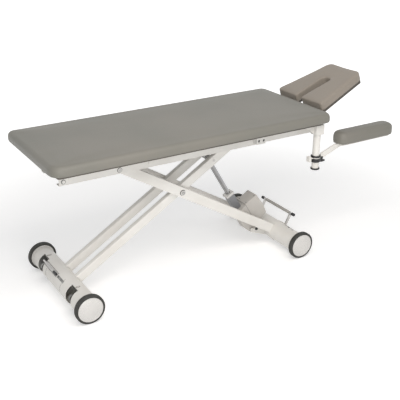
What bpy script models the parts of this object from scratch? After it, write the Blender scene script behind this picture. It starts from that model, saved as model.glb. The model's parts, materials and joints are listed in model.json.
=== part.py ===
# Height-adjustable treatment table on a scissor lift.
# Units are metres, +Z is up and +X points to the head end. The near side is -Y.
import math

import bmesh
import bpy
from mathutils import Matrix, Vector

for old in list(bpy.data.objects):
    bpy.data.objects.remove(old, do_unlink=True)

# Clearances
SEAT_GAP = 0.0003
RUNNING_GAP = 0.0009
SIDE_GAP = 0.0008

# Wheels and base tubes
WHEEL_RADIUS = 0.079
WHEEL_BASE = 1.3183
RING_WIDTH = 0.028
RING_EDGE = 0.006
CAP_RADIUS = 0.0665
CAP_BULGE = 0.009
CAP_WALL = 0.004
TUBE_HALF_LENGTH = 0.3147
HEAD_TUBE_RADIUS = 0.057
FOOT_TUBE_RADIUS = 0.061
TUBE_WALL = 0.003
END_PLATE = 0.005
SPIGOT_RADIUS = 0.010
SPIGOT_LENGTH = 0.015
HUB_BOSS_RADIUS = 0.017
BULKHEAD_INSET = 0.0697
BULKHEAD_THICKNESS = 0.004

# Scissor
LOWER_ARM = 0.7693
UPPER_ARM = 0.4202
PIVOT_DROP = 0.0115
LOWEST_ARM_ANGLE = math.radians(13.0)
ARM_WIDTH = 0.030
OUTER_ARM_Y = 0.100
OUTER_ARM_HEIGHT = 0.055
INNER_ARM_Y = 0.067
INNER_ARM_HEIGHT = 0.050
ARM_WALL = 0.003
ARM_EDGE = 0.0035
COLLAR_WALL = 0.003
DRAIN_RADIUS = 0.006
CENTRE_BOLT_RADIUS = 0.008
UPPER_BOLT_RADIUS = 0.006
BUSH_WALL = 0.006
BOLT_HEAD = 0.006

# Rails
RAIL_HEIGHT = 0.040
RAIL_WALL = 0.003
RAIL_OUTER_Y = 0.1205
RAIL_INNER_Y = 0.0835
RAIL_START = -0.323
RAIL_END = 0.858
RAIL_SPLIT = 0.159
RAIL_SPLIT_WIDTH = 0.010
RAIL_SPLIT_DEPTH = 0.0012
ARM_NOTCH_START = -0.040
ARM_NOTCH_END = 0.285
TAB_WIDTH = 0.022
TAB_THICKNESS = 0.004
TAB_BOTTOM = 0.000
ROLLER_AXLE_RADIUS = 0.006

# Deck, measured along X from the upper pivot
SURFACE_RISE = 0.162
PAD_THICKNESS = 0.058
BOARD_THICKNESS = 0.018
PAD_FOOT = -0.432
PAD_HEAD = 1.212
PAD_HALF_WIDTH = 0.335
PAD_CORNER = 0.040
PAD_EDGE = 0.020
BOARD_INSET = 0.045
BOARD_CORNER = 0.015
MEMBER_WIDTH = 0.040
MEMBER_HEIGHT = 0.030
MEMBER_WALL = 0.003
FIRST_MEMBER_X = -0.262
MEMBER_PITCH = 0.435
MEMBER_COUNT = 3
CARRIER_MEMBER_X = 0.838
END_FRAME_X = 1.140

# Carrier bars and their socket boxes
CARRIER_INNER_Y = 0.170
CARRIER_OUTER_Y = 0.200
CARRIER_HEIGHT = 0.036
CARRIER_WALL = 0.003
CARRIER_START = 0.800
CARRIER_END = 1.168
SOCKET_LENGTH = 0.058
SOCKET_START = 0.781
SOCKET_INNER_Y = 0.166
SOCKET_OUTER_Y = 0.206
SOCKET_HEIGHT = 0.042
KEYHOLE_RADIUS = 0.006
KEYHOLE_SLOT = 0.006
KEYHOLE_DEPTH = 0.012
KEYHOLE_PITCH = 0.032

# Head section
HINGE_X = 1.220
HINGE_Z = 0.086
HEAD_TILT = math.radians(19.9)
HEAD_LENGTH = 0.380
HEAD_START = 0.0255
HEAD_TOP = 0.0874
HEAD_PAD_THICKNESS = 0.053
HEAD_HALF_HINGE = 0.206
HEAD_HALF_END = 0.139
HEAD_CORNER = 0.030
SLOT_HALF_HINGE = 0.022
SLOT_HALF_END = 0.034
SLOT_LENGTH = 0.262
HEAD_BOARD_INSET = 0.012
HINGE_PIN_RADIUS = 0.005
HINGE_LUG_Y = 0.141
HINGE_LUG_THICKNESS = 0.006
HINGE_EYE = 0.011

# Armrest
POST_X = 1.155
POST_Y = -0.260
POST_RADIUS = 0.0205
POST_WALL = 0.003
POST_TOP = 0.074
POST_BOTTOM = -0.179
HOLDER_WIDTH = 0.056
HOLDER_BOTTOM = 0.028
GUSSET_LENGTH = 0.060
GUSSET_THICKNESS = 0.006
POST_CAP_RADIUS = 0.0263
POST_CAP_HEIGHT = 0.010
POST_CAP_FLOOR = 0.002
SLEEVE_BOTTOM = -0.1355
SLEEVE_TOP = -0.097
SLEEVE_LOWER_FLANGE = 0.0225
SLEEVE_UPPER_FLANGE = 0.010
SLEEVE_FLANGE_RADIUS = 0.029
SLEEVE_NECK_RADIUS = 0.0245
HUB_RADIUS = 0.027
NUB_REACH = 0.057
NUB_LENGTH = 0.017
NUB_LOW = -0.128
NUB_HIGH = -0.098
LEVER_PIN_X = 0.040
LEVER_PIN_RADIUS = 0.003
LEVER_THICKNESS = 0.009
LEVER_LENGTH = 0.062
LEVER_WIDTH = 0.012
ARM_BAR_START = 0.038
ARM_BAR_TOP = -0.092
ARM_BAR_SLOPE = math.radians(20.1)
ARM_BAR_HEIGHT = 0.034
ARM_BAR_THICKNESS = 0.008
ARM_PAD_START = 0.141
ARM_PAD_LENGTH = 0.420
ARM_PAD_WIDTH = 0.112
ARM_PAD_BOTTOM = -0.056
ARM_PAD_THICKNESS = 0.072
ARM_PAD_CORNER = 0.030
ARM_PAD_EDGE = 0.020
ARM_PLATE_THICKNESS = 0.006
ARM_PLATE_WIDTH = 0.080

# Transport castors, with the shaft place given for the head base
CASTOR_SHAFT_X = -0.030
CASTOR_SHAFT_Z = -0.020
CASTOR_SHAFT_RADIUS = 0.006
CASTOR_SHAFT_END = 0.015
CASTOR_ARM = 0.067
CASTOR_PARKED = math.radians(20.0)
CASTOR_RADIUS = 0.021
CASTOR_WIDTH = 0.024
CASTOR_INSET = 0.1197
CASTOR_AXLE_RADIUS = 0.004
CASTOR_ARM_WIDTH = 0.014
CASTOR_ARM_THICKNESS = 0.006
WINDOW_WIDTH = 0.070
WINDOW_TOP = math.radians(70.0)
WINDOW_BOTTOM = math.radians(-98.0)

# Pedal
PEDAL_KNEE_X = 0.046
PEDAL_KNEE_Z = 0.037
PEDAL_BAR_X = 0.080
PEDAL_BAR_Z = 0.103
PEDAL_ROD_RADIUS = 0.005
PEDAL_BAR_RADIUS = 0.006
PEDAL_UPRIGHT_Y = 0.126
PEDAL_HALF_LENGTH = 0.158
PEDAL_CAP_RADIUS = 0.0095
PEDAL_CAP_LENGTH = 0.024
GRIP_RADIUS = 0.0095
GRIP_GROOVE = 0.0015
GRIP_RIBS = 6
SLOT_WIDTH = 0.014
PEDAL_SLOT_TOP = math.radians(50.0)
PEDAL_SLOT_BOTTOM = math.radians(-68.0)

# Foot lever
FOOT_LEVER_ANGLE = math.radians(135.6)
FOOT_LEVER_RADIUS = 0.0045
FOOT_LEVER_START = 0.172
FOOT_LEVER_STOP = -0.010
FOOT_TIP_RADIUS = 0.0075
FOOT_TIP_LENGTH = 0.040
TIP_FLOOR = 0.004
TIP_EDGE = 0.003

# Actuator
CROSS_PIN_REACH = 0.2554
CROSS_PIN_RADIUS = 0.007
TRUNNION_X = -0.143
TRUNNION_Z = 0.019
TRUNNION_RADIUS = 0.008
ROD_RADIUS = 0.014
ROD_EYE_RADIUS = 0.018
ROD_EYE_HALF = 0.018
ROD_FOOT = 0.210
SPINDLE_RADIUS = 0.019
SPINDLE_FOOT = 0.022
SPINDLE_TOP = 0.292
SPINDLE_BOX_Y = 0.020
SPINDLE_BOX_Z = 0.024
GUIDE_LENGTH = 0.016
GUIDE_Y = 0.026
GUIDE_Z = 0.028
GUIDE_CORNER = 0.008
NECK_TOP = 0.168
NECK_CHAMFER = 0.022
HOUSING_HALF = 0.045
HOUSING_BOSS_HALF = 0.050
HOUSING_BOSS_RADIUS = 0.014
HOUSING_EDGE = 0.005
BRACKET_PLATE = 0.005
BRACKET_INNER_Y = 0.053

ROUND = 16
TUBE_SIDES = 24
FINE = 20

# Places that follow from the sizes above
arm_angle = math.acos(WHEEL_BASE / 2 / LOWER_ARM)
centre_x = WHEEL_BASE / 2
centre_z = WHEEL_RADIUS + LOWER_ARM * math.sin(arm_angle)
pivot_x = centre_x - UPPER_ARM * math.cos(arm_angle) - PIVOT_DROP * math.sin(arm_angle)
pivot_z = centre_z + UPPER_ARM * math.sin(arm_angle) - PIVOT_DROP * math.cos(arm_angle)
pin_x = centre_x + CROSS_PIN_REACH * math.cos(arm_angle)
pin_z = centre_z + CROSS_PIN_REACH * math.sin(arm_angle)
trunnion_x = WHEEL_BASE + TRUNNION_X
trunnion_z = WHEEL_RADIUS + TRUNNION_Z
actuator_length = math.hypot(trunnion_x - pin_x, pin_z - trunnion_z)
actuator_angle = math.atan2(pin_z - trunnion_z, trunnion_x - pin_x)
board_top = SURFACE_RISE - PAD_THICKNESS - SEAT_GAP
board_bottom = SURFACE_RISE - PAD_THICKNESS - BOARD_THICKNESS
member_places = [FIRST_MEMBER_X + i * MEMBER_PITCH for i in range(MEMBER_COUNT)] + [CARRIER_MEMBER_X]
member_top = board_bottom - SEAT_GAP
member_bottom = member_top - MEMBER_HEIGHT
rail_half = RAIL_HEIGHT / 2
bulkhead_y = TUBE_HALF_LENGTH - BULKHEAD_INSET
castor_y = TUBE_HALF_LENGTH - CASTOR_INSET
castor_shaft_half = bulkhead_y + CASTOR_SHAFT_END
table_start = pivot_x + PAD_FOOT
table_end = pivot_x + POST_X + ARM_PAD_START + ARM_PAD_LENGTH
origin_x = (table_start + table_end) / 2

parts = bpy.data.collections.new("treatment_table")
cutters = bpy.data.collections.new("cutters")
bpy.context.scene.collection.children.link(parts)
bpy.context.scene.collection.children.link(cutters)
cutters.hide_render = True


def material(name, colour, roughness, metallic=0.0):
    made = bpy.data.materials.new(name)
    made.use_nodes = True
    shader = made.node_tree.nodes["Principled BSDF"]
    shader.inputs["Base Color"].default_value = (*colour, 1.0)
    shader.inputs["Roughness"].default_value = roughness
    shader.inputs["Metallic"].default_value = metallic
    return made


white_paint = material("white_paint", (0.80, 0.78, 0.74), 0.35)
upholstery = material("grey_upholstery", (0.24, 0.24, 0.21), 0.50)
taupe = material("taupe_upholstery", (0.38, 0.32, 0.28), 0.50)
rubber = material("dark_rubber", (0.035, 0.034, 0.033), 0.70)
black = material("black_plastic", (0.020, 0.020, 0.022), 0.40)
pearl = material("pearl_plastic", (0.55, 0.55, 0.54), 0.30)
steel = material("bright_steel", (0.60, 0.60, 0.62), 0.25, 1.0)
grey_metal = material("grey_metal", (0.24, 0.25, 0.27), 0.40, 0.8)
housing_grey = material("housing_plastic", (0.52, 0.49, 0.46), 0.45)
plywood = material("plywood", (0.45, 0.32, 0.19), 0.60)


def empty(name, x, z, turn=0.0, y=0.0, parent=None):
    made = bpy.data.objects.new(name, None)
    made.location = (x, y, z)
    made.rotation_euler = (0.0, turn, 0.0)
    made.parent = parent
    parts.objects.link(made)
    return made


# Each empty stands on the joint axis of the pieces below it
table = empty("table", -origin_x, 0.0)
head_base = empty("head_base", WHEEL_BASE, WHEEL_RADIUS, parent=table)
lift_axis = empty("lift_axis", WHEEL_BASE, WHEEL_RADIUS, arm_angle, parent=table)
inner_axis = empty("inner_axis", centre_x, centre_z, -arm_angle, parent=table)
foot_base = empty("foot_base", 0.0, WHEEL_RADIUS, parent=table)
deck = empty("deck", pivot_x, pivot_z, parent=table)
roller_axis = empty("roller_axis", 2 * centre_x - pivot_x, pivot_z, parent=table)
pedal_axis = empty(
    "pedal_axis", WHEEL_BASE + CASTOR_SHAFT_X, WHEEL_RADIUS + CASTOR_SHAFT_Z, parent=table
)
foot_lever_axis = empty(
    "foot_lever_axis", -CASTOR_SHAFT_X, WHEEL_RADIUS + CASTOR_SHAFT_Z, parent=table
)
head_axis = empty("head_axis", pivot_x + HINGE_X, pivot_z + HINGE_Z, -HEAD_TILT, parent=table)
arm_axis = empty("arm_axis", pivot_x + POST_X, pivot_z, y=POST_Y, parent=table)
lever_axis = empty(
    "lever_axis", pivot_x + POST_X + LEVER_PIN_X, pivot_z, y=POST_Y, parent=table
)
actuator_axis = empty("actuator_axis", pin_x, pin_z, actuator_angle, parent=table)


def keep(obj, home, look, angle=35.0):
    """Make obj a piece of the table, in home's frame."""
    obj.parent = home
    obj.data.materials.clear()
    obj.data.materials.append(look)
    obj.data.shade_smooth()
    obj.data.set_sharp_from_angle(angle=math.radians(angle))
    return obj


def new_object(name, mesh):
    made = bpy.data.objects.new(name, mesh)
    parts.objects.link(made)
    return made


def block(name, x, y, z):
    """A box between the pairs of limits x, y and z."""
    size = Vector((x[1] - x[0], y[1] - y[0], z[1] - z[0]))
    centre = Vector(((x[0] + x[1]) / 2, (y[0] + y[1]) / 2, (z[0] + z[1]) / 2))
    mesh = bpy.data.meshes.new(name)
    shape = bmesh.new()
    bmesh.ops.create_cube(
        shape, size=1.0, matrix=Matrix.Translation(centre) @ Matrix.Diagonal(size).to_4x4()
    )
    shape.to_mesh(mesh)
    shape.free()
    return new_object(name, mesh)


def rod(name, start, end, radius, sides=ROUND):
    """A solid round bar from start to end."""
    start, end = Vector(start), Vector(end)
    along = end - start
    mesh = bpy.data.meshes.new(name)
    shape = bmesh.new()
    bmesh.ops.create_cone(
        shape,
        cap_ends=True,
        segments=sides,
        radius1=radius,
        radius2=radius,
        depth=along.length,
        matrix=Matrix.Translation((start + end) / 2) @ along.to_track_quat("Z", "Y").to_matrix().to_4x4(),
    )
    shape.to_mesh(mesh)
    shape.free()
    return new_object(name, mesh)


def turned(name, profile, closed=False, sides=ROUND, upright=False):
    """Turn a profile of (radius, height) points, given down the outer side, about Y or Z."""
    mesh = bpy.data.meshes.new(name)
    edges = [(i, i + 1) for i in range(len(profile) - 1)]
    if closed:
        edges.append((len(profile) - 1, 0))
    mesh.from_pydata([(r, 0.0, h) for r, h in profile], edges, [])
    made = new_object(name, mesh)
    if not upright:
        made.rotation_euler = (math.radians(-90.0), 0.0, 0.0)
    screw = made.modifiers.new("turn", "SCREW")
    screw.steps = sides
    screw.render_steps = sides
    screw.use_merge_vertices = True
    screw.merge_threshold = 0.00005
    return made


def to_mesh(curve_object, turn):
    """Replace a curve by its welded mesh, turned from the curve's plane."""
    bpy.context.view_layer.update()
    evaluated = curve_object.evaluated_get(bpy.context.evaluated_depsgraph_get())
    mesh = bpy.data.meshes.new_from_object(evaluated)
    shape = bmesh.new()
    shape.from_mesh(mesh)
    bmesh.ops.remove_doubles(shape, verts=shape.verts, dist=0.00002)
    bmesh.ops.dissolve_limit(
        shape, angle_limit=math.radians(0.5), verts=shape.verts, edges=shape.edges
    )
    shape.transform(turn)
    bmesh.ops.recalc_face_normals(shape, faces=shape.faces)
    shape.to_mesh(mesh)
    shape.free()
    name = curve_object.name
    bpy.data.objects.remove(curve_object, do_unlink=True)
    return new_object(name, mesh)


def plate(name, outline, limits, flat=False):
    """A flat outline in XZ, or in XY when flat, with its thickness between the two limits."""
    curve = bpy.data.curves.new(name, "CURVE")
    curve.dimensions = "2D"
    curve.fill_mode = "BOTH"
    curve.extrude = (limits[1] - limits[0]) / 2
    spline = curve.splines.new("POLY")
    spline.points.add(len(outline) - 1)
    for point, (u, v) in zip(spline.points, outline):
        point.co = (u, v, 0.0, 1.0)
    spline.use_cyclic_u = True
    made = bpy.data.objects.new(name, curve)
    parts.objects.link(made)
    middle = (limits[0] + limits[1]) / 2
    if flat:
        turn = Matrix.Translation((0.0, 0.0, middle))
    else:
        turn = Matrix.Translation((0.0, middle, 0.0)) @ Matrix.Rotation(math.radians(90.0), 4, "X")
    return to_mesh(made, turn)


def bent_rod(name, points, radius):
    """A round bar along straight runs between points."""
    curve = bpy.data.curves.new(name, "CURVE")
    curve.dimensions = "3D"
    curve.bevel_depth = radius
    curve.bevel_resolution = 2
    curve.use_fill_caps = True
    spline = curve.splines.new("POLY")
    spline.points.add(len(points) - 1)
    for point, place in zip(spline.points, points):
        point.co = (*place, 1.0)
    made = bpy.data.objects.new(name, curve)
    parts.objects.link(made)
    return to_mesh(made, Matrix.Identity(4))


def combine(target, tools, operation):
    for tool in tools:
        step = target.modifiers.new(operation.lower(), "BOOLEAN")
        step.operation = operation
        step.object = tool
        tool.parent = target.parent if tool.parent is None else tool.parent
        parts.objects.unlink(tool)
        cutters.objects.link(tool)
        tool.hide_render = True
        tool.display_type = "WIRE"
    return target


def join(target, *tools):
    return combine(target, tools, "UNION")


def cut(target, *tools):
    return combine(target, tools, "DIFFERENCE")


def soften(obj, width, segments=2):
    bevel = obj.modifiers.new("edges", "BEVEL")
    bevel.width = width
    bevel.segments = segments
    bevel.limit_method = "ANGLE"
    bevel.angle_limit = math.radians(50.0)
    return obj


def arc(centre, radius, start, stop, steps):
    """Points of an arc, with angles from +X toward +Z."""
    return [
        (
            centre[0] + radius * math.cos(start + (stop - start) * i / steps),
            centre[1] + radius * math.sin(start + (stop - start) * i / steps),
        )
        for i in range(steps + 1)
    ]


def rounded(corners, radii, steps=5):
    """Outline through the corners, each rounded by its radius."""
    outline = []
    count = len(corners)
    for i, radius in enumerate(radii):
        before = Vector(corners[i - 1])
        here = Vector(corners[i])
        after = Vector(corners[(i + 1) % count])
        if radius == 0.0:
            outline.append(tuple(here))
            continue
        back = (before - here).normalized()
        ahead = (after - here).normalized()
        half = back.angle(ahead) / 2
        reach = radius / math.tan(half)
        centre = here + (back + ahead).normalized() * radius / math.sin(half)
        first = here + back * reach - centre
        last = here + ahead * reach - centre
        sweep = first.angle_signed(last)
        for k in range(steps + 1):
            turn = Matrix.Rotation(-sweep * k / steps, 2)
            outline.append(tuple(centre + turn @ first))
    return outline


def link(start, end, width, steps=6):
    """Outline of a flat link with round ends."""
    heading = math.atan2(end[1] - start[1], end[0] - start[0])
    quarter = math.pi / 2
    return arc(end, width / 2, heading - quarter, heading + quarter, steps) + arc(
        start, width / 2, heading + quarter, heading + 3 * quarter, steps
    )


def cushion(name, outline, low, high, edge):
    """A padded block whose upper edges are rounded."""
    made = plate(name, outline, (low, high), flat=True)
    shape = bmesh.new()
    shape.from_mesh(made.data)
    rim = [
        e
        for e in shape.edges
        if all(v.co.z > high - 0.0001 for v in e.verts) and e.calc_face_angle(0.0) > math.radians(60.0)
    ]
    bmesh.ops.bevel(shape, geom=rim, offset=edge, segments=3, profile=0.5, affect="EDGES", clamp_overlap=True)
    shape.to_mesh(made.data)
    shape.free()
    return made


def sector(name, radius, start, stop, limits):
    """A wedge about the Y axis, used to open a window in a tube."""
    steps = max(3, round(abs(stop - start) / math.radians(15.0)))
    return plate(name, [(0.0, 0.0)] + arc((0.0, 0.0), radius, start, stop, steps), limits)


def base_tube(name, radius):
    """A tube along Y with an end plate at each end, bored for the wheel spigots."""
    inner = radius - TUBE_WALL
    bore = SPIGOT_RADIUS + SEAT_GAP
    end = TUBE_HALF_LENGTH
    seat = end - END_PLATE
    profile = [(bore, end), (radius, end), (radius, -end), (bore, -end)]
    profile += [(bore, -seat), (inner, -seat), (inner, seat), (bore, seat)]
    return turned(name, profile, closed=True, sides=TUBE_SIDES)


def ring(name, side):
    inner = CAP_RADIUS + SEAT_GAP
    low = TUBE_HALF_LENGTH + SEAT_GAP
    high = low + RING_WIDTH
    outer = WHEEL_RADIUS
    quarter = math.pi / 2
    profile = [(inner, high)]
    profile += arc((outer - RING_EDGE, high - RING_EDGE), RING_EDGE, quarter, 0.0, 3)
    profile += arc((outer - RING_EDGE, low + RING_EDGE), RING_EDGE, 0.0, -quarter, 3)
    profile += [(inner, low)]
    made = turned(name, profile, closed=True, sides=TUBE_SIDES)
    made.rotation_euler.x *= side
    return made


def cap(name, side):
    low = TUBE_HALF_LENGTH + SEAT_GAP
    rim = low + RING_WIDTH
    dome = [
        (CAP_RADIUS * math.sin(a), rim + CAP_BULGE * math.cos(a))
        for a in (math.radians(90.0 * i / 4) for i in range(5))
    ]
    hollow = CAP_RADIUS - CAP_WALL
    profile = dome + [(CAP_RADIUS, low), (hollow, low), (hollow, rim - CAP_WALL)]
    profile += [(HUB_BOSS_RADIUS, rim), (HUB_BOSS_RADIUS, low), (SPIGOT_RADIUS, low)]
    profile += [(SPIGOT_RADIUS, low - SPIGOT_LENGTH), (0.0, low - SPIGOT_LENGTH)]
    made = turned(name, profile, sides=TUBE_SIDES)
    made.rotation_euler.x *= side
    return made


def bulkhead(name, side, tube_radius, shaft_x):
    """A disc inside the base tube that carries the castor shaft."""
    y = side * bulkhead_y
    half = BULKHEAD_THICKNESS / 2
    radius = tube_radius - TUBE_WALL - RUNNING_GAP
    disc = rod(name, (0.0, y - half, 0.0), (0.0, y + half, 0.0), radius, TUBE_SIDES)
    bore = rod(
        name + "_bore",
        (shaft_x, y - 2 * half, CASTOR_SHAFT_Z),
        (shaft_x, y + 2 * half, CASTOR_SHAFT_Z),
        CASTOR_SHAFT_RADIUS + SEAT_GAP,
    )
    return disc, bore


def castor_frame(name, direction):
    """The cross shaft with its two castor arms; direction is +1 when the castors swing at +X."""
    shaft = rod(name, (0.0, -castor_shaft_half, 0.0), (0.0, castor_shaft_half, 0.0), CASTOR_SHAFT_RADIUS)
    wheel = (direction * CASTOR_ARM * math.cos(CASTOR_PARKED), CASTOR_ARM * math.sin(CASTOR_PARKED))
    tools = []
    for side, word in ((-1, "near"), (1, "far")):
        inner = castor_y - CASTOR_WIDTH / 2 - SIDE_GAP
        limits = sorted((side * inner, side * (inner - CASTOR_ARM_THICKNESS)))
        tools.append(plate(f"{name}_arm_{word}", link((0.0, 0.0), wheel, CASTOR_ARM_WIDTH), limits))
        outer = castor_y + CASTOR_WIDTH / 2 + SIDE_GAP
        root = inner - CASTOR_ARM_THICKNESS / 2
        tools.append(
            rod(
                f"{name}_axle_{word}",
                (wheel[0], side * root, wheel[1]),
                (wheel[0], side * (outer + 0.001), wheel[1]),
                CASTOR_AXLE_RADIUS,
            )
        )
        tools.append(
            rod(
                f"{name}_axle_head_{word}",
                (wheel[0], side * outer, wheel[1]),
                (wheel[0], side * (outer + 0.003), wheel[1]),
                2 * CASTOR_AXLE_RADIUS,
            )
        )
    return shaft, tools, wheel


def castor(name, side):
    bore = CASTOR_AXLE_RADIUS + SEAT_GAP
    half = CASTOR_WIDTH / 2
    edge = 0.004
    outer = CASTOR_RADIUS
    profile = [(bore, half), (outer - edge, half), (outer, half - edge)]
    profile += [(outer, edge - half), (outer - edge, -half), (bore, -half)]
    made = turned(name, profile, closed=True)
    made.location = (0.0, side * castor_y, 0.0)
    return made


def wheel_empty(name, axis, wheel):
    return empty(name, axis.location.x + wheel[0], axis.location.z + wheel[1], parent=table)


def box_arm(name, home, outline, side, centre_y, hollow, bushes, bores):
    """A box-section arm: its outline, a hollow along it, and a bush around each bore."""
    y = side * centre_y
    half = ARM_WIDTH / 2
    made = soften(plate(name, outline, (y - half, y + half)), ARM_EDGE)
    keep(made, home, white_paint)
    inside = block(
        name + "_hollow",
        hollow[0],
        (y - half + ARM_WALL, y + half - ARM_WALL),
        (-hollow[1] / 2 + ARM_WALL, hollow[1] / 2 - ARM_WALL),
    )
    cut(made, inside)
    for i, (x, z, radius) in enumerate(bushes):
        join(made, rod(f"{name}_bush_{i}", (x, y - half + 0.001, z), (x, y + half - 0.001, z), radius + BUSH_WALL))
    for i, (x, z, radius) in enumerate(bores):
        cut(made, rod(f"{name}_bore_{i}", (x, y - 2 * half, z), (x, y + 2 * half, z), radius))
    return made


SIDES = ((-1, "near"), (1, "far"))

# Head base
tube = keep(base_tube("head_base_tube", HEAD_TUBE_RADIUS), head_base, white_paint)
shaft, tools, head_wheel = castor_frame("pedal_frame", 1)
pedal_frame = keep(shaft, pedal_axis, steel)
bar_at = (PEDAL_BAR_X - CASTOR_SHAFT_X, PEDAL_BAR_Z - CASTOR_SHAFT_Z)
knee_at = (PEDAL_KNEE_X - CASTOR_SHAFT_X, PEDAL_KNEE_Z - CASTOR_SHAFT_Z)
tools.append(
    rod(
        "pedal_bar",
        (bar_at[0], -PEDAL_HALF_LENGTH, bar_at[1]),
        (bar_at[0], PEDAL_HALF_LENGTH, bar_at[1]),
        PEDAL_BAR_RADIUS,
    )
)
head_castor_axis = wheel_empty("head_castor_axis", pedal_axis, head_wheel)
grip_inner = PEDAL_BAR_RADIUS + SEAT_GAP
grip_half = PEDAL_UPRIGHT_Y - PEDAL_ROD_RADIUS - SIDE_GAP
rib_pitch = 2 * grip_half / GRIP_RIBS
for side, word in SIDES:
    y = side * PEDAL_UPRIGHT_Y
    run = [(0.0, y, 0.0), (knee_at[0], y, knee_at[1]), (bar_at[0], y, bar_at[1])]
    tools.append(bent_rod(f"pedal_upright_{word}", run, PEDAL_ROD_RADIUS))
    slot = sector(
        f"pedal_slot_{word}",
        2 * HEAD_TUBE_RADIUS,
        PEDAL_SLOT_BOTTOM,
        PEDAL_SLOT_TOP,
        (y - SLOT_WIDTH / 2, y + SLOT_WIDTH / 2),
    )
    window = sector(
        f"head_window_{word}",
        2 * HEAD_TUBE_RADIUS,
        WINDOW_BOTTOM,
        WINDOW_TOP,
        (side * castor_y - WINDOW_WIDTH / 2, side * castor_y + WINDOW_WIDTH / 2),
    )
    cut(tube, slot, window)
    keep(ring(f"head_ring_{word}", side), head_base, rubber)
    keep(cap(f"head_cap_{word}", side), head_base, pearl)
    disc, bore = bulkhead(f"head_bulkhead_{word}", side, HEAD_TUBE_RADIUS, CASTOR_SHAFT_X)
    keep(disc, head_base, grey_metal)
    cut(disc, bore)
    keep(castor(f"head_castor_{word}", side), head_castor_axis, rubber)
    end_cap = turned(
        f"pedal_cap_{word}",
        [
            (0.0, PEDAL_CAP_LENGTH),
            (PEDAL_CAP_RADIUS - 0.003, PEDAL_CAP_LENGTH),
            (PEDAL_CAP_RADIUS, PEDAL_CAP_LENGTH - 0.003),
            (PEDAL_CAP_RADIUS, 0.0),
            (grip_inner, 0.0),
            (grip_inner, PEDAL_CAP_LENGTH - 0.004),
            (0.0, PEDAL_CAP_LENGTH - 0.004),
        ],
    )
    end_cap.rotation_euler.x *= side
    cap_start = PEDAL_HALF_LENGTH + SEAT_GAP - PEDAL_CAP_LENGTH + 0.004
    end_cap.location = (bar_at[0], side * cap_start, bar_at[1])
    keep(end_cap, pedal_axis, black)
join(pedal_frame, *tools)

grip_profile = [(grip_inner, grip_half)]
for i in range(GRIP_RIBS):
    top = grip_half - i * rib_pitch
    grip_profile += [(GRIP_RADIUS, top), (GRIP_RADIUS, top - 0.6 * rib_pitch)]
    if i < GRIP_RIBS - 1:
        grip_profile += [(GRIP_RADIUS - GRIP_GROOVE, top - 0.65 * rib_pitch)]
        grip_profile += [(GRIP_RADIUS - GRIP_GROOVE, top - 0.95 * rib_pitch)]
grip_profile += [(GRIP_RADIUS, -grip_half), (grip_inner, -grip_half)]
grip = keep(turned("pedal_grip", grip_profile, closed=True, sides=12), pedal_axis, grey_metal)
grip.location = (bar_at[0], 0.0, bar_at[1])

# Bracket of the actuator, bolted to the head base tube
bracket_x = -HEAD_TUBE_RADIUS - 0.0005
bracket_outer = BRACKET_INNER_Y + BRACKET_PLATE
bracket = keep(
    block("actuator_bracket", (bracket_x - 0.006, bracket_x), (-bracket_outer, bracket_outer), (-0.032, 0.020)),
    head_base,
    white_paint,
)
cheek = [
    (bracket_x, -0.032),
    (bracket_x, 0.020),
    (bracket_x - 0.024, 0.030),
    (TRUNNION_X - 0.016, TRUNNION_Z + 0.014),
    (TRUNNION_X - 0.016, TRUNNION_Z - 0.012),
    (TRUNNION_X, TRUNNION_Z - 0.018),
]
for side, word in SIDES:
    limits = sorted((side * BRACKET_INNER_Y, side * bracket_outer))
    join(bracket, plate(f"bracket_cheek_{word}", cheek, limits))
    join(
        bracket,
        rod(
            f"trunnion_{word}",
            (TRUNNION_X, side * (HOUSING_BOSS_HALF + SEAT_GAP), TRUNNION_Z),
            (TRUNNION_X, side * (bracket_outer + 0.004), TRUNNION_Z),
            TRUNNION_RADIUS,
        ),
    )

# Outer arms, which turn on the head base tube
collar_bore = HEAD_TUBE_RADIUS + RUNNING_GAP
upper_reach = LOWER_ARM + UPPER_ARM
half = OUTER_ARM_HEIGHT / 2
lowest_angle = LOWEST_ARM_ANGLE
trim_height = rail_half - RAIL_WALL - SIDE_GAP
trim_reach = ((half + PIVOT_DROP) * math.cos(lowest_angle) - trim_height) / math.sin(lowest_angle)
nose = half - PIVOT_DROP
trim_rise = math.acos(min(1.0, nose / trim_height))
outer_outline = [(-HEAD_TUBE_RADIUS / 2, -half), (-HEAD_TUBE_RADIUS / 2, half)]
outer_outline += [(-upper_reach + trim_reach, half)]
outer_outline += arc(
    (-upper_reach, -PIVOT_DROP), nose, math.pi / 2 + lowest_angle + trim_rise, 3 * math.pi / 2, 8
)
centre_hole = CENTRE_BOLT_RADIUS + SEAT_GAP
upper_hole = UPPER_BOLT_RADIUS + SEAT_GAP
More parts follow.
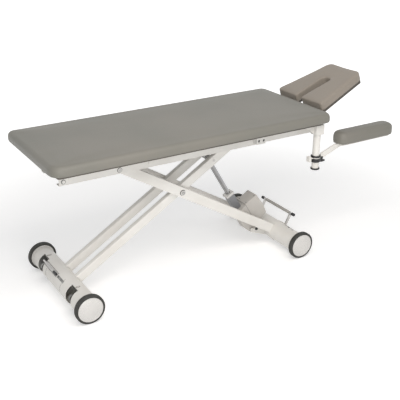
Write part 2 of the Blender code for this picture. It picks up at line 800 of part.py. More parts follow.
for side, word in SIDES:
    y = side * OUTER_ARM_Y
    arm = box_arm(
        f"outer_arm_{word}",
        lift_axis,
        outer_outline,
        side,
        OUTER_ARM_Y,
        ((-upper_reach + trim_reach + 0.02, -HEAD_TUBE_RADIUS / 3), OUTER_ARM_HEIGHT),
        [(-LOWER_ARM, 0.0, centre_hole)],
        [(-LOWER_ARM, 0.0, centre_hole), (-upper_reach, -PIVOT_DROP, upper_hole)],
    )
    limits = (y - ARM_WIDTH / 2 + 0.0002, y + ARM_WIDTH / 2 - 0.0002)
    collar = turned(
        f"collar_{word}",
        [
            (collar_bore, limits[1]),
            (collar_bore + COLLAR_WALL, limits[1]),
            (collar_bore + COLLAR_WALL, limits[0]),
            (collar_bore, limits[0]),
        ],
        closed=True,
        sides=TUBE_SIDES,
    )
    clear = rod(f"collar_bore_{word}", (0.0, y - ARM_WIDTH, 0.0), (0.0, y + ARM_WIDTH, 0.0), collar_bore, TUBE_SIDES)
    cut(arm, clear)
    join(arm, collar)
    drain = rod(
        f"arm_drain_{word}",
        (-HEAD_TUBE_RADIUS + DRAIN_RADIUS, y, 0.0),
        (-HEAD_TUBE_RADIUS - 2 * DRAIN_RADIUS, y, 0.0),
        DRAIN_RADIUS,
    )
    cut(arm, drain)

    inner_face = INNER_ARM_Y - ARM_WIDTH / 2
    outer_face = OUTER_ARM_Y + ARM_WIDTH / 2
    bolt = rod(
        f"centre_pivot_{word}",
        (0.0, side * (inner_face - 0.008), 0.0),
        (0.0, side * (outer_face + 0.004), 0.0),
        CENTRE_BOLT_RADIUS,
    )
    head = rod(
        f"centre_head_{word}",
        (0.0, side * (outer_face + SEAT_GAP), 0.0),
        (0.0, side * (outer_face + SEAT_GAP + BOLT_HEAD), 0.0),
        1.8 * CENTRE_BOLT_RADIUS,
    )
    nut = rod(
        f"centre_nut_{word}",
        (0.0, side * (inner_face - SEAT_GAP), 0.0),
        (0.0, side * (inner_face - SEAT_GAP - BOLT_HEAD), 0.0),
        1.6 * CENTRE_BOLT_RADIUS,
        6,
    )
    keep(bolt, lift_axis, steel)
    bolt.location = (-LOWER_ARM, 0.0, 0.0)
    head.location = bolt.location
    nut.location = bolt.location
    join(bolt, head, nut)

    inside = OUTER_ARM_Y - ARM_WIDTH / 2
    bolt = rod(
        f"upper_pivot_{word}",
        (0.0, side * (inside - 0.001), 0.0),
        (0.0, side * (RAIL_OUTER_Y + 0.002), 0.0),
        UPPER_BOLT_RADIUS,
    )
    head = rod(
        f"upper_head_{word}",
        (0.0, side * (RAIL_OUTER_Y + SEAT_GAP), 0.0),
        (0.0, side * (RAIL_OUTER_Y + SEAT_GAP + BOLT_HEAD / 2), 0.0),
        1.9 * UPPER_BOLT_RADIUS,
    )
    keep(bolt, deck, steel)
    join(bolt, head)

# Inner arms, rigid with the foot base tube
half = INNER_ARM_HEIGHT / 2
inner_outline = [
    (-LOWER_ARM + FOOT_TUBE_RADIUS / 2, -half),
    (UPPER_ARM + 0.010, -half),
    (UPPER_ARM + 0.018, -half + 0.006),
    (UPPER_ARM + 0.018, 0.004),
    (UPPER_ARM + 0.004, half),
    (-LOWER_ARM + FOOT_TUBE_RADIUS / 2, half),
]
pin_hole = CROSS_PIN_RADIUS + SEAT_GAP
roller_radius = rail_half - RAIL_WALL - SEAT_GAP
for side, word in SIDES:
    y = side * INNER_ARM_Y
    arm = box_arm(
        f"inner_arm_{word}",
        inner_axis,
        inner_outline,
        side,
        INNER_ARM_Y,
        ((-LOWER_ARM + FOOT_TUBE_RADIUS / 3, UPPER_ARM - 0.02), INNER_ARM_HEIGHT),
        [(0.0, 0.0, centre_hole), (CROSS_PIN_REACH, 0.0, pin_hole)],
        [(0.0, 0.0, centre_hole), (CROSS_PIN_REACH, 0.0, pin_hole)],
    )
    seat = rod(
        f"inner_seat_{word}",
        (-LOWER_ARM, y - ARM_WIDTH, 0.0),
        (-LOWER_ARM, y + ARM_WIDTH, 0.0),
        FOOT_TUBE_RADIUS + RUNNING_GAP,
        TUBE_SIDES,
    )
    cut(arm, seat)
    axle_end = RAIL_OUTER_Y - RAIL_WALL - RUNNING_GAP
    axle = rod(
        f"roller_axle_{word}",
        (UPPER_ARM, y, -PIVOT_DROP),
        (UPPER_ARM, side * axle_end, -PIVOT_DROP),
        ROLLER_AXLE_RADIUS,
    )
    join(arm, axle)
    low = INNER_ARM_Y + ARM_WIDTH / 2 + 2 * SIDE_GAP
    high = axle_end - RUNNING_GAP
    bore = ROLLER_AXLE_RADIUS + SEAT_GAP
    roller = turned(
        f"slide_roller_{word}",
        [(bore, high), (roller_radius, high), (roller_radius, low), (bore, low)],
        closed=True,
        sides=FINE,
    )
    roller.rotation_euler.x *= side
    keep(roller, roller_axis, black)

cross_pin = rod(
    "actuator_cross_pin",
    (0.0, -INNER_ARM_Y - ARM_WIDTH / 2 - 0.002, 0.0),
    (0.0, INNER_ARM_Y + ARM_WIDTH / 2 + 0.002, 0.0),
    CROSS_PIN_RADIUS,
)
keep(cross_pin, inner_axis, steel)
cross_pin.location = (CROSS_PIN_REACH, 0.0, 0.0)

# Foot base
tube = keep(base_tube("foot_base_tube", FOOT_TUBE_RADIUS), foot_base, white_paint)
shaft, tools, foot_wheel = castor_frame("foot_lever_frame", -1)
foot_lever = keep(shaft, foot_lever_axis, steel)
foot_castor_axis = wheel_empty("foot_castor_axis", foot_lever_axis, foot_wheel)
shaft_offset = math.hypot(CASTOR_SHAFT_X, CASTOR_SHAFT_Z)
lever_reach = shaft_offset + FOOT_TUBE_RADIUS + FOOT_TIP_RADIUS + SIDE_GAP
lever_at = (lever_reach * math.cos(FOOT_LEVER_ANGLE), lever_reach * math.sin(FOOT_LEVER_ANGLE))
tools.append(
    bent_rod(
        "foot_lever_crank",
        [
            (0.0, FOOT_LEVER_START, 0.0),
            (lever_at[0], FOOT_LEVER_START, lever_at[1]),
            (lever_at[0], FOOT_LEVER_STOP, lever_at[1]),
        ],
        FOOT_LEVER_RADIUS,
    )
)
join(foot_lever, *tools)
tip_bore = FOOT_LEVER_RADIUS + SEAT_GAP
tip = turned(
    "foot_lever_tip",
    [
        (0.0, TIP_FLOOR),
        (tip_bore, TIP_FLOOR),
        (tip_bore, FOOT_TIP_LENGTH),
        (FOOT_TIP_RADIUS, FOOT_TIP_LENGTH),
        (FOOT_TIP_RADIUS, TIP_EDGE),
        (FOOT_TIP_RADIUS - TIP_EDGE, 0.0),
        (0.0, 0.0),
    ],
)
keep(tip, foot_lever_axis, black)
tip.location = (lever_at[0], FOOT_LEVER_STOP - TIP_FLOOR - SEAT_GAP, lever_at[1])
for side, word in SIDES:
    window = sector(
        f"foot_window_{word}",
        2 * FOOT_TUBE_RADIUS,
        math.pi - WINDOW_TOP,
        math.pi - WINDOW_BOTTOM,
        (side * castor_y - WINDOW_WIDTH / 2, side * castor_y + WINDOW_WIDTH / 2),
    )
    cut(tube, window)
    keep(ring(f"foot_ring_{word}", side), foot_base, rubber)
    keep(cap(f"foot_cap_{word}", side), foot_base, pearl)
    disc, bore = bulkhead(f"foot_bulkhead_{word}", side, FOOT_TUBE_RADIUS, -CASTOR_SHAFT_X)
    keep(disc, foot_base, grey_metal)
    cut(disc, bore)
    keep(castor(f"foot_castor_{word}", side), foot_castor_axis, rubber)

# Rails: channels open to the inside, with a tab at each cross member
tab_inner = RAIL_OUTER_Y - 0.001
for side, word in SIDES:
    rail = soften(
        block(
            f"rail_{word}",
            (RAIL_START, RAIL_END),
            sorted((side * RAIL_INNER_Y, side * RAIL_OUTER_Y)),
            (-rail_half, rail_half),
        ),
        0.0015,
        1,
    )
    keep(rail, deck, white_paint)
    web = RAIL_OUTER_Y - RAIL_WALL
    channel = block(
        f"rail_channel_{word}",
        (RAIL_START - 0.01, RAIL_END + 0.01),
        sorted((side * (RAIL_INNER_Y - 0.01), side * web)),
        (-rail_half + RAIL_WALL, rail_half - RAIL_WALL),
    )
    notch = block(
        f"rail_notch_{word}",
        (ARM_NOTCH_START, ARM_NOTCH_END),
        sorted((side * (RAIL_INNER_Y - 0.01), side * web)),
        (-RAIL_HEIGHT, 0.0),
    )
    split = block(
        f"rail_split_{word}",
        (RAIL_SPLIT - RAIL_SPLIT_WIDTH / 2, RAIL_SPLIT + RAIL_SPLIT_WIDTH / 2),
        sorted((side * (RAIL_OUTER_Y - RAIL_SPLIT_DEPTH), side * (RAIL_OUTER_Y + 0.01))),
        (-RAIL_HEIGHT, RAIL_HEIGHT),
    )
    hole = rod(
        f"rail_hole_{word}", (0.0, side * web * 0.9, 0.0), (0.0, side * RAIL_OUTER_Y * 1.1, 0.0), upper_hole
    )
    cut(rail, channel, notch, split, hole)
    for i, x in enumerate(member_places):
        tab_top = board_bottom if i < MEMBER_COUNT else member_bottom
        join(
            rail,
            block(
                f"rail_tab_{word}_{i}",
                (x - TAB_WIDTH / 2, x + TAB_WIDTH / 2),
                sorted((side * tab_inner, side * (RAIL_OUTER_Y + TAB_THICKNESS))),
                (TAB_BOTTOM, tab_top - SEAT_GAP),
            ),
        )
    end_bolt = rod(
        f"rail_end_bolt_{word}",
        (RAIL_START + 0.024, side * (RAIL_OUTER_Y - 0.001), 0.0),
        (RAIL_START + 0.024, side * (RAIL_OUTER_Y + 0.003), 0.0),
        0.008,
    )
    join(rail, end_bolt)

# Cross members under the board: three between the tabs, one over the carrier bars, and the head
# end frame, which ends at the armrest holder
member_reach = [tab_inner - SEAT_GAP] * MEMBER_COUNT
member_reach += [CARRIER_OUTER_Y, abs(POST_Y) - HOLDER_WIDTH / 2 - SEAT_GAP]
for i, x in enumerate((*member_places, END_FRAME_X)):
    name = "head_end_frame" if i > MEMBER_COUNT else f"cross_member_{i + 1}"
    reach = member_reach[i]
    member = block(
        name,
        (x - MEMBER_WIDTH / 2, x + MEMBER_WIDTH / 2),
        (-reach, reach),
        (member_bottom, member_top),
    )
    keep(member, deck, white_paint)
    cut(
        member,
        block(
            name + "_bore",
            (x - MEMBER_WIDTH / 2 + MEMBER_WALL, x + MEMBER_WIDTH / 2 - MEMBER_WALL),
            (-reach - 0.01, reach + 0.01),
            (member_bottom + MEMBER_WALL, member_top - MEMBER_WALL),
        ),
    )

# Ears of the head hinge, on the head end frame
ear_root = END_FRAME_X + MEMBER_WIDTH / 2
ear_low = member_bottom + 0.002
ear = [
    (ear_root - 0.001, ear_low),
    (HINGE_X - 0.016, ear_low + 0.008),
    (HINGE_X + 0.002, HINGE_Z - HINGE_EYE),
    (HINGE_X + HINGE_EYE, HINGE_Z - 0.004),
    (HINGE_X + HINGE_EYE, HINGE_Z + 0.006),
    (HINGE_X + 0.004, HINGE_Z + HINGE_EYE),
    (HINGE_X - 0.008, HINGE_Z + HINGE_EYE),
    (HINGE_X - 0.020, HINGE_Z + 0.001),
    (PAD_HEAD - BOARD_INSET + 0.004, member_top - 0.003),
    (ear_root - 0.001, member_top - 0.003),
]
ear_inner = HINGE_LUG_Y + HINGE_LUG_THICKNESS / 2 + SIDE_GAP
ear_outer = ear_inner + HINGE_LUG_THICKNESS
for side, word in SIDES:
    join(member, plate(f"hinge_ear_{word}", ear, sorted((side * ear_inner, side * ear_outer))))
cut(
    member,
    rod(
        "hinge_ear_bore",
        (HINGE_X, -ear_outer - 0.01, HINGE_Z),
        (HINGE_X, ear_outer + 0.01, HINGE_Z),
        HINGE_PIN_RADIUS + SEAT_GAP,
    ),
)
hinge_pin = rod(
    "head_hinge_pin",
    (HINGE_X, -ear_outer - 0.004, HINGE_Z),
    (HINGE_X, ear_outer + 0.004, HINGE_Z),
    HINGE_PIN_RADIUS,
)
keep(hinge_pin, deck, steel)

# Carrier bars with socket boxes
carrier_top = member_bottom - SEAT_GAP
for side, word in SIDES:
    bar = block(
        f"carrier_bar_{word}",
        (CARRIER_START, CARRIER_END),
        sorted((side * CARRIER_INNER_Y, side * CARRIER_OUTER_Y)),
        (carrier_top - CARRIER_HEIGHT, carrier_top),
    )
    keep(bar, deck, white_paint)
    socket = block(
        f"socket_box_{word}",
        (SOCKET_START, SOCKET_START + SOCKET_LENGTH),
        sorted((side * SOCKET_INNER_Y, side * SOCKET_OUTER_Y)),
        (carrier_top - SOCKET_HEIGHT, carrier_top),
    )
    join(bar, soften(socket, 0.002, 1))
    bore = block(
        f"carrier_bore_{word}",
        (SOCKET_START + 0.004, CARRIER_END + 0.01),
        sorted((side * (CARRIER_INNER_Y + CARRIER_WALL), side * (CARRIER_OUTER_Y - CARRIER_WALL))),
        (carrier_top - CARRIER_HEIGHT + CARRIER_WALL, carrier_top - CARRIER_WALL),
    )
    cut(bar, bore)
    middle = SOCKET_START + SOCKET_LENGTH / 2
    for k in (-1, 1):
        x = middle + k * KEYHOLE_PITCH / 2
        z = carrier_top - SOCKET_HEIGHT / 2
        key = rod(
            f"keyhole_{word}_{k + 1}",
            (x, side * (SOCKET_OUTER_Y - KEYHOLE_DEPTH), z),
            (x, side * (SOCKET_OUTER_Y + 0.01), z),
            KEYHOLE_RADIUS,
        )
        slot = block(
            f"keyhole_slot_{word}_{k + 1}",
            (x - KEYHOLE_SLOT / 2, x + KEYHOLE_SLOT / 2),
            sorted((side * (SOCKET_OUTER_Y - KEYHOLE_DEPTH), side * (SOCKET_OUTER_Y + 0.01))),
            (z - 2 * KEYHOLE_RADIUS, z),
        )
        cut(bar, key, slot)

# Board and pad of the table
half = PAD_HALF_WIDTH
inset = BOARD_INSET
board_outline = rounded(
    [
        (PAD_FOOT + inset, inset - half),
        (PAD_HEAD - inset, inset - half),
        (PAD_HEAD - inset, half - inset),
        (PAD_FOOT + inset, half - inset),
    ],
    [BOARD_CORNER] * 4,
    3,
)
keep(plate("main_board", board_outline, (board_bottom, board_top), flat=True), deck, plywood)
pad_outline = rounded(
    [(PAD_FOOT, -half), (PAD_HEAD, -half), (PAD_HEAD, half), (PAD_FOOT, half)], [PAD_CORNER] * 4, 6
)
pad_bottom = SURFACE_RISE - PAD_THICKNESS
keep(cushion("main_pad", pad_outline, pad_bottom, SURFACE_RISE, PAD_EDGE), deck, upholstery)


def head_outline(inset, corner):
    """The head section in plan, drawn in by inset, with its slot open at the hinge end."""
    start = HEAD_START + inset
    end = HEAD_START + HEAD_LENGTH - inset
    slant = (HEAD_HALF_HINGE - HEAD_HALF_END) / HEAD_LENGTH
    wide = HEAD_HALF_HINGE - inset - slant * inset
    narrow = HEAD_HALF_END - inset + slant * inset
    tip = HEAD_START + SLOT_LENGTH + inset
    corners = [(start, -wide), (end, -narrow), (end, narrow), (start, wide)]
    corners += [(start, SLOT_HALF_HINGE + inset), (tip, SLOT_HALF_END + inset)]
    corners += [(tip, -SLOT_HALF_END - inset), (start, -SLOT_HALF_HINGE - inset)]
    slot_corner = 0.8 * (SLOT_HALF_END + inset)
    return rounded(corners, [corner] * 4 + [corner / 3, slot_corner, slot_corner, corner / 3], 4)


head_pad_bottom = HEAD_TOP - HEAD_PAD_THICKNESS
head_board_top = head_pad_bottom - SEAT_GAP
head_board_bottom = head_pad_bottom - BOARD_THICKNESS
keep(
    cushion("head_pad", head_outline(0.0, HEAD_CORNER), head_pad_bottom, HEAD_TOP, PAD_EDGE),
    head_axis,
    taupe,
)
head_board = plate(
    "head_board",
    head_outline(HEAD_BOARD_INSET, HEAD_CORNER / 2),
    (head_board_bottom, head_board_top),
    flat=True,
)
keep(head_board, head_axis, plywood)
lug = [(-HINGE_EYE * 0.7, -HINGE_EYE * 0.7), (0.0, -HINGE_EYE), (0.010, -0.008)]
lug += [(0.075, head_board_bottom + 0.001), (HEAD_START + HEAD_BOARD_INSET + 0.002, head_board_bottom + 0.001)]
lug += [(0.004, HINGE_EYE), (-HINGE_EYE * 0.7, HINGE_EYE * 0.7), (-HINGE_EYE, 0.0)]
for side, word in SIDES:
    y = side * HINGE_LUG_Y
    limits = (y - HINGE_LUG_THICKNESS / 2, y + HINGE_LUG_THICKNESS / 2)
    join(head_board, plate(f"head_lug_{word}", lug, limits))
cut(
    head_board,
    rod("head_lug_bore", (0.0, -0.2, 0.0), (0.0, 0.2, 0.0), HINGE_PIN_RADIUS + SEAT_GAP),
)

# Armrest holder and post
hold = HOLDER_WIDTH / 2
holder = block(
    "armrest_holder",
    (POST_X - hold, POST_X + hold),
    (POST_Y - hold, POST_Y + hold),
    (HOLDER_BOTTOM, member_top),
)
keep(soften(holder, 0.003, 2), deck, white_paint)
gusset = [
    (POST_X - hold + 0.001, member_top - 0.001),
    (POST_X - hold - GUSSET_LENGTH, member_top - 0.001),
    (POST_X - hold - GUSSET_LENGTH, member_top - 0.006),
    (POST_X - hold + 0.001, HOLDER_BOTTOM + 0.006),
]
half = GUSSET_THICKNESS / 2
join(holder, plate("armrest_gusset", gusset, (POST_Y - half, POST_Y + half)))
cut(
    holder,
    rod(
        "holder_bore",
        (POST_X, POST_Y, HOLDER_BOTTOM - 0.01),
        (POST_X, POST_Y, POST_TOP + SEAT_GAP),
        POST_RADIUS + SEAT_GAP,
        FINE,
    ),
)
post_inner = POST_RADIUS - POST_WALL
post = turned(
    "armrest_post",
    [(post_inner, POST_TOP), (POST_RADIUS, POST_TOP), (POST_RADIUS, POST_BOTTOM), (post_inner, POST_BOTTOM)],
    closed=True,
    sides=FINE,
    upright=True,
)
keep(post, deck, white_paint)
post.location = (POST_X, POST_Y, 0.0)
cap_low = POST_BOTTOM - POST_CAP_FLOOR - SEAT_GAP
cap_high = cap_low + POST_CAP_HEIGHT
cap_inner = POST_RADIUS + SEAT_GAP
post_cap = turned(
    "post_cap",
    [
        (0.0, cap_low + POST_CAP_FLOOR),
        (cap_inner, cap_low + POST_CAP_FLOOR),
        (cap_inner, cap_high),
        (POST_CAP_RADIUS - TIP_EDGE, cap_high),
        (POST_CAP_RADIUS, cap_high - TIP_EDGE),
        (POST_CAP_RADIUS, cap_low + TIP_EDGE),
        (POST_CAP_RADIUS - TIP_EDGE, cap_low),
        (0.0, cap_low),
    ],
    sides=FINE,
    upright=True,
)
keep(post_cap, deck, black)
post_cap.location = (POST_X, POST_Y, 0.0)

# Sleeve that clamps on the post, with the hub of the armrest between its flanges
hub_low = SLEEVE_BOTTOM + SLEEVE_LOWER_FLANGE
hub_high = SLEEVE_TOP - SLEEVE_UPPER_FLANGE
flange = SLEEVE_FLANGE_RADIUS
sleeve = turned(
    "arm_sleeve",
    [
        (cap_inner, SLEEVE_TOP),
        (flange - 0.003, SLEEVE_TOP),
        (flange, SLEEVE_TOP - 0.003),
        (flange, hub_high),
        (SLEEVE_NECK_RADIUS, hub_high),
        (SLEEVE_NECK_RADIUS, hub_low),
        (flange, hub_low),
        (flange, SLEEVE_BOTTOM + 0.003),
        (flange - 0.003, SLEEVE_BOTTOM),
        (cap_inner, SLEEVE_BOTTOM),
    ],
    closed=True,
    sides=FINE,
    upright=True,
)
keep(sleeve, arm_axis, black)
lug_eye = LEVER_PIN_RADIUS + 0.005
ear = block(
    "lever_lug",
    (SLEEVE_NECK_RADIUS, LEVER_PIN_X + lug_eye),
    (-lug_eye, lug_eye),
    (SLEEVE_BOTTOM + 0.001, hub_low - 0.001),
)
bore = rod(
    "lever_lug_bore",
    (LEVER_PIN_X, 0.0, SLEEVE_BOTTOM - 0.01),
    (LEVER_PIN_X, 0.0, hub_low + 0.01),
    LEVER_PIN_RADIUS + SEAT_GAP,
)
join(sleeve, ear)
cut(sleeve, bore)

lever_top = SLEEVE_BOTTOM - SEAT_GAP
lever = plate(
    "clamp_lever",
    link((0.0, 0.0), (LEVER_LENGTH - LEVER_PIN_X, 0.0), LEVER_WIDTH),
    (lever_top - LEVER_THICKNESS, lever_top),
    flat=True,
)
keep(lever, lever_axis, black)
join(
    lever,
    rod(
        "lever_pin",
        (0.0, 0.0, lever_top - LEVER_THICKNESS / 2),
        (0.0, 0.0, hub_low - 0.002),
        LEVER_PIN_RADIUS,
    ),
)

neck_bore = SLEEVE_NECK_RADIUS + SEAT_GAP
hub = turned(
    "arm_bar",
    [
        (neck_bore, hub_high - SEAT_GAP),
        (HUB_RADIUS, hub_high - SEAT_GAP),
        (HUB_RADIUS, hub_low + SEAT_GAP),
        (neck_bore, hub_low + SEAT_GAP),
    ],
    closed=True,
    sides=FINE,
    upright=True,
)
keep(hub, arm_axis, white_paint)
web_low = hub_low + SEAT_GAP + 0.0005
web_high = hub_high - SEAT_GAP - 0.0005
web_root = neck_bore + 0.001
nub = block("hub_nub", (-NUB_REACH, NUB_LENGTH - NUB_REACH), (-0.014, 0.014), (NUB_LOW, NUB_HIGH))
nub_web = block(
    "nub_web", (NUB_LENGTH - NUB_REACH - 0.002, -web_root), (-0.010, 0.010), (web_low, web_high)
)
plate_top = ARM_PAD_BOTTOM - SEAT_GAP
plate_low = plate_top - ARM_PLATE_THICKNESS
bar_rise = math.tan(ARM_BAR_SLOPE)
bar_drop = ARM_BAR_HEIGHT / math.cos(ARM_BAR_SLOPE)
bar_root = LEVER_PIN_X + lug_eye + 0.002
bar_end = ARM_PAD_START + 0.064
bar_meet = ARM_BAR_START + (plate_top - 0.001 - ARM_BAR_TOP) / bar_rise
strip = [
    (web_root, web_low),
    (bar_root, web_low),
    (bar_root + 0.002, ARM_BAR_TOP + (bar_root + 0.002 - ARM_BAR_START) * bar_rise - bar_drop),
    (bar_end, ARM_BAR_TOP + (bar_end - ARM_BAR_START) * bar_rise - bar_drop),
    (bar_end, plate_top - 0.001),
    (bar_meet, plate_top - 0.001),
    (ARM_BAR_START, ARM_BAR_TOP),
    (flange + 0.002, web_high),
    (web_root, web_high),
]
half = ARM_BAR_THICKNESS / 2
carrier = block(
    "arm_plate",
    (ARM_PAD_START + 0.020, ARM_PAD_START + ARM_PAD_LENGTH - 0.040),
    (-ARM_PLATE_WIDTH / 2, ARM_PLATE_WIDTH / 2),
    (plate_low, plate_top),
)
join(hub, nub_web, soften(nub, 0.002, 1), plate("arm_strip", strip, (-half, half)), carrier)
y_low = -ARM_PAD_WIDTH / 2
y_high = ARM_PAD_WIDTH / 2
arm_end = ARM_PAD_START + ARM_PAD_LENGTH
arm_pad_outline = rounded(
    [(ARM_PAD_START, y_low), (arm_end, y_low), (arm_end, y_high), (ARM_PAD_START, y_high)],
    [ARM_PAD_CORNER] * 4,
    6,
)
keep(
    cushion("arm_pad", arm_pad_outline, ARM_PAD_BOTTOM, ARM_PAD_BOTTOM + ARM_PAD_THICKNESS, ARM_PAD_EDGE),
    arm_axis,
    upholstery,
)

# Actuator, along X of its axis: the cross pin is at 0 and the trunnions at actuator_length
eye = rod("actuator_rod", (0.0, -ROD_EYE_HALF, 0.0), (0.0, ROD_EYE_HALF, 0.0), ROD_EYE_RADIUS)
keep(eye, actuator_axis, steel)
join(eye, rod("actuator_rod_bar", (ROD_EYE_RADIUS / 2, 0.0, 0.0), (actuator_length - ROD_FOOT, 0.0, 0.0), ROD_RADIUS))
cut(eye, rod("actuator_eye_bore", (0.0, -0.05, 0.0), (0.0, 0.05, 0.0), pin_hole))

guide_top = actuator_length - SPINDLE_TOP
neck_at = actuator_length - NECK_TOP
spindle = rod(
    "spindle_tube",
    (neck_at - 2 * SPINDLE_RADIUS, 0.0, 0.0),
    (actuator_length - SPINDLE_FOOT, 0.0, 0.0),
    SPINDLE_RADIUS,
)
keep(spindle, actuator_axis, grey_metal)
profile_box = block(
    "spindle_box",
    (guide_top + GUIDE_LENGTH / 2, neck_at - SEAT_GAP),
    (-SPINDLE_BOX_Y, SPINDLE_BOX_Y),
    (-SPINDLE_BOX_Z, SPINDLE_BOX_Z),
)
guide = block("guide_collar", (guide_top, guide_top + GUIDE_LENGTH), (-GUIDE_Y, GUIDE_Y), (-GUIDE_Z, GUIDE_Z))
join(spindle, soften(profile_box, 0.003, 2), soften(guide, GUIDE_CORNER, 3))
cut(
    spindle,
    rod(
        "spindle_bore",
        (guide_top - 0.01, 0.0, 0.0),
        (actuator_length - SPINDLE_FOOT + 0.01, 0.0, 0.0),
        ROD_RADIUS + RUNNING_GAP,
    ),
)

# Outline of the casing as (distance up from the trunnions, offset toward the motor)
CASING = [
    (NECK_TOP, -0.030),
    (NECK_TOP, 0.042),
    (0.177, 0.042),
    (0.177, 0.133),
    (0.081, 0.142),
    (0.025, 0.134),
    (0.014, 0.090),
    (0.010, 0.050),
    (-0.012, 0.020),
    (-0.016, 0.006),
    (-0.016, -0.008),
    (-0.006, -0.018),
    (0.030, -0.030),
]
casing = plate(
    "actuator_housing",
    [(actuator_length - up, out) for up, out in CASING],
    (-HOUSING_HALF, HOUSING_HALF),
)
keep(soften(casing, HOUSING_EDGE, 2), actuator_axis, housing_grey)
for side, word in SIDES:
    corner = NECK_CHAMFER / math.sqrt(2.0)
    chamfer = block(
        f"neck_chamfer_{word}",
        (neck_at - 0.010, actuator_length + 0.030),
        (-corner, corner),
        (-corner, corner),
    )
    chamfer.location = (0.0, side * HOUSING_HALF, -0.030)
    chamfer.rotation_euler = (math.radians(45.0), 0.0, 0.0)
    cut(casing, chamfer)
join(
    casing,
    rod(
        "housing_boss",
        (actuator_length, -HOUSING_BOSS_HALF, 0.0),
        (actuator_length, HOUSING_BOSS_HALF, 0.0),
        HOUSING_BOSS_RADIUS,
    ),
)
cut(
    casing,
    rod(
        "housing_bore",
        (actuator_length - 0.35, 0.0, 0.0),
        (actuator_length - SPINDLE_FOOT + SEAT_GAP, 0.0, 0.0),
        SPINDLE_RADIUS + SEAT_GAP,
    ),
)
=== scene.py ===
# %% [markdown]
# # A treatment table, dressed for the camera
#
# The imported CAD model is the fixed frame: every solid is already in its real place, in metres.
# This lesson gives those solids their finish, and swaps the plain ones for finer pieces.
# It needs Blender 4.5.

# %% Load the frame
import json
import math

import bmesh
import bpy
import numpy as np
from mathutils import Matrix, Vector

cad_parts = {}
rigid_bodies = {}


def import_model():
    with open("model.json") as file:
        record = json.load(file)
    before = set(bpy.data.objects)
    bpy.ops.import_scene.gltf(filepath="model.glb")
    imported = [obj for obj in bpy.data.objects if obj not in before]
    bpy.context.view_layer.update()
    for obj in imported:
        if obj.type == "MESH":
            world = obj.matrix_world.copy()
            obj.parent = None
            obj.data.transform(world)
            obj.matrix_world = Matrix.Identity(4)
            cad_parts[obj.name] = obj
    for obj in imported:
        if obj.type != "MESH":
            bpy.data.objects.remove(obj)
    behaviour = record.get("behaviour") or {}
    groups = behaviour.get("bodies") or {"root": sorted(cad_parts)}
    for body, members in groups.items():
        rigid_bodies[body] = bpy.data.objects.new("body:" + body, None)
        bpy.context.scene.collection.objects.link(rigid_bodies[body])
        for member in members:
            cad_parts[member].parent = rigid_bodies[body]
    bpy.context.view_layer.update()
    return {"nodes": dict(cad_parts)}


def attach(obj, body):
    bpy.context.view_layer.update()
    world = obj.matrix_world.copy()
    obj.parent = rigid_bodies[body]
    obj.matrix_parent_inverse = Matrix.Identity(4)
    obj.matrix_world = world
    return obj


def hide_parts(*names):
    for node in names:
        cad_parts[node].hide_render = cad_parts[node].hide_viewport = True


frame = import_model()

# %% [markdown]
# ## Camera
#
# The photograph was taken from the near side, a little above the pads and turned to the head end.
# A camera can be placed by eye, but here its place and lens were solved from points
# whose position on the table is known, so that the picture lines up without guessing.

# %% Camera
CAMERA_PLACE = (-2.0865, -3.2420, 2.0190)
CAMERA_YAW = math.radians(31.54)
CAMERA_DIP = math.radians(23.70)
CAMERA_LENS = 65.90
SENSOR_WIDTH = 36.0

lens = bpy.data.cameras.new("photo_camera")
lens.lens = CAMERA_LENS
lens.sensor_width = SENSOR_WIDTH
camera = bpy.data.objects.new("photo_camera", lens)
bpy.context.scene.collection.objects.link(camera)
camera.location = CAMERA_PLACE
camera.rotation_euler = (math.pi / 2 - CAMERA_DIP, 0.0, -CAMERA_YAW)
bpy.context.scene.camera = camera
print("camera at", CAMERA_PLACE)

# %% [markdown]
# ## Finishes
#
# A flat colour looks like plastic film, so each finish is a small node tree.
# A soft noise blends two close colours over the whole piece, as paint and vinyl vary in real life.
# A finer noise drives the bump and the roughness, which breaks up the highlights.
# All of them read Object coordinates, so that the pattern stays with the piece in every pose.

# %% Finish helper
BLEND_FROM, BLEND_TO = 0.35, 0.65
RELIEF_STRENGTH = 0.5


def tone(red, green, blue):
    """A screen colour from 0 to 255 as the linear colour that Blender's shaders take."""
    parts = []
    for value in (red, green, blue):
        part = value / 255
        parts.append(part / 12.92 if part <= 0.04045 else ((part + 0.055) / 1.055) ** 2.4)
    return (*parts, 1.0)


def wire(tree, start, out_name, end, in_name):
    tree.links.new(start.outputs[out_name], end.inputs[in_name])


def add(tree, kind, **values):
    """A new node with these values on its sockets; an underscore stands for a space."""
    made = tree.nodes.new(kind)
    for socket, value in values.items():
        made.inputs[socket.replace("_", " ")].default_value = value
    return made


def found(tree, kind):
    return next(node for node in tree.nodes if node.type == kind)


def noise(tree, place, scale, detail=3.0, stretch=(1.0, 1.0, 1.0)):
    """A noise over Object coordinates; a small stretch draws it out along an axis."""
    turn = add(tree, "ShaderNodeMapping", Scale=stretch)
    made = add(tree, "ShaderNodeTexNoise", Scale=scale, Detail=detail)
    wire(tree, place, "Object", turn, "Vector")
    wire(tree, turn, "Vector", made, "Vector")
    return made


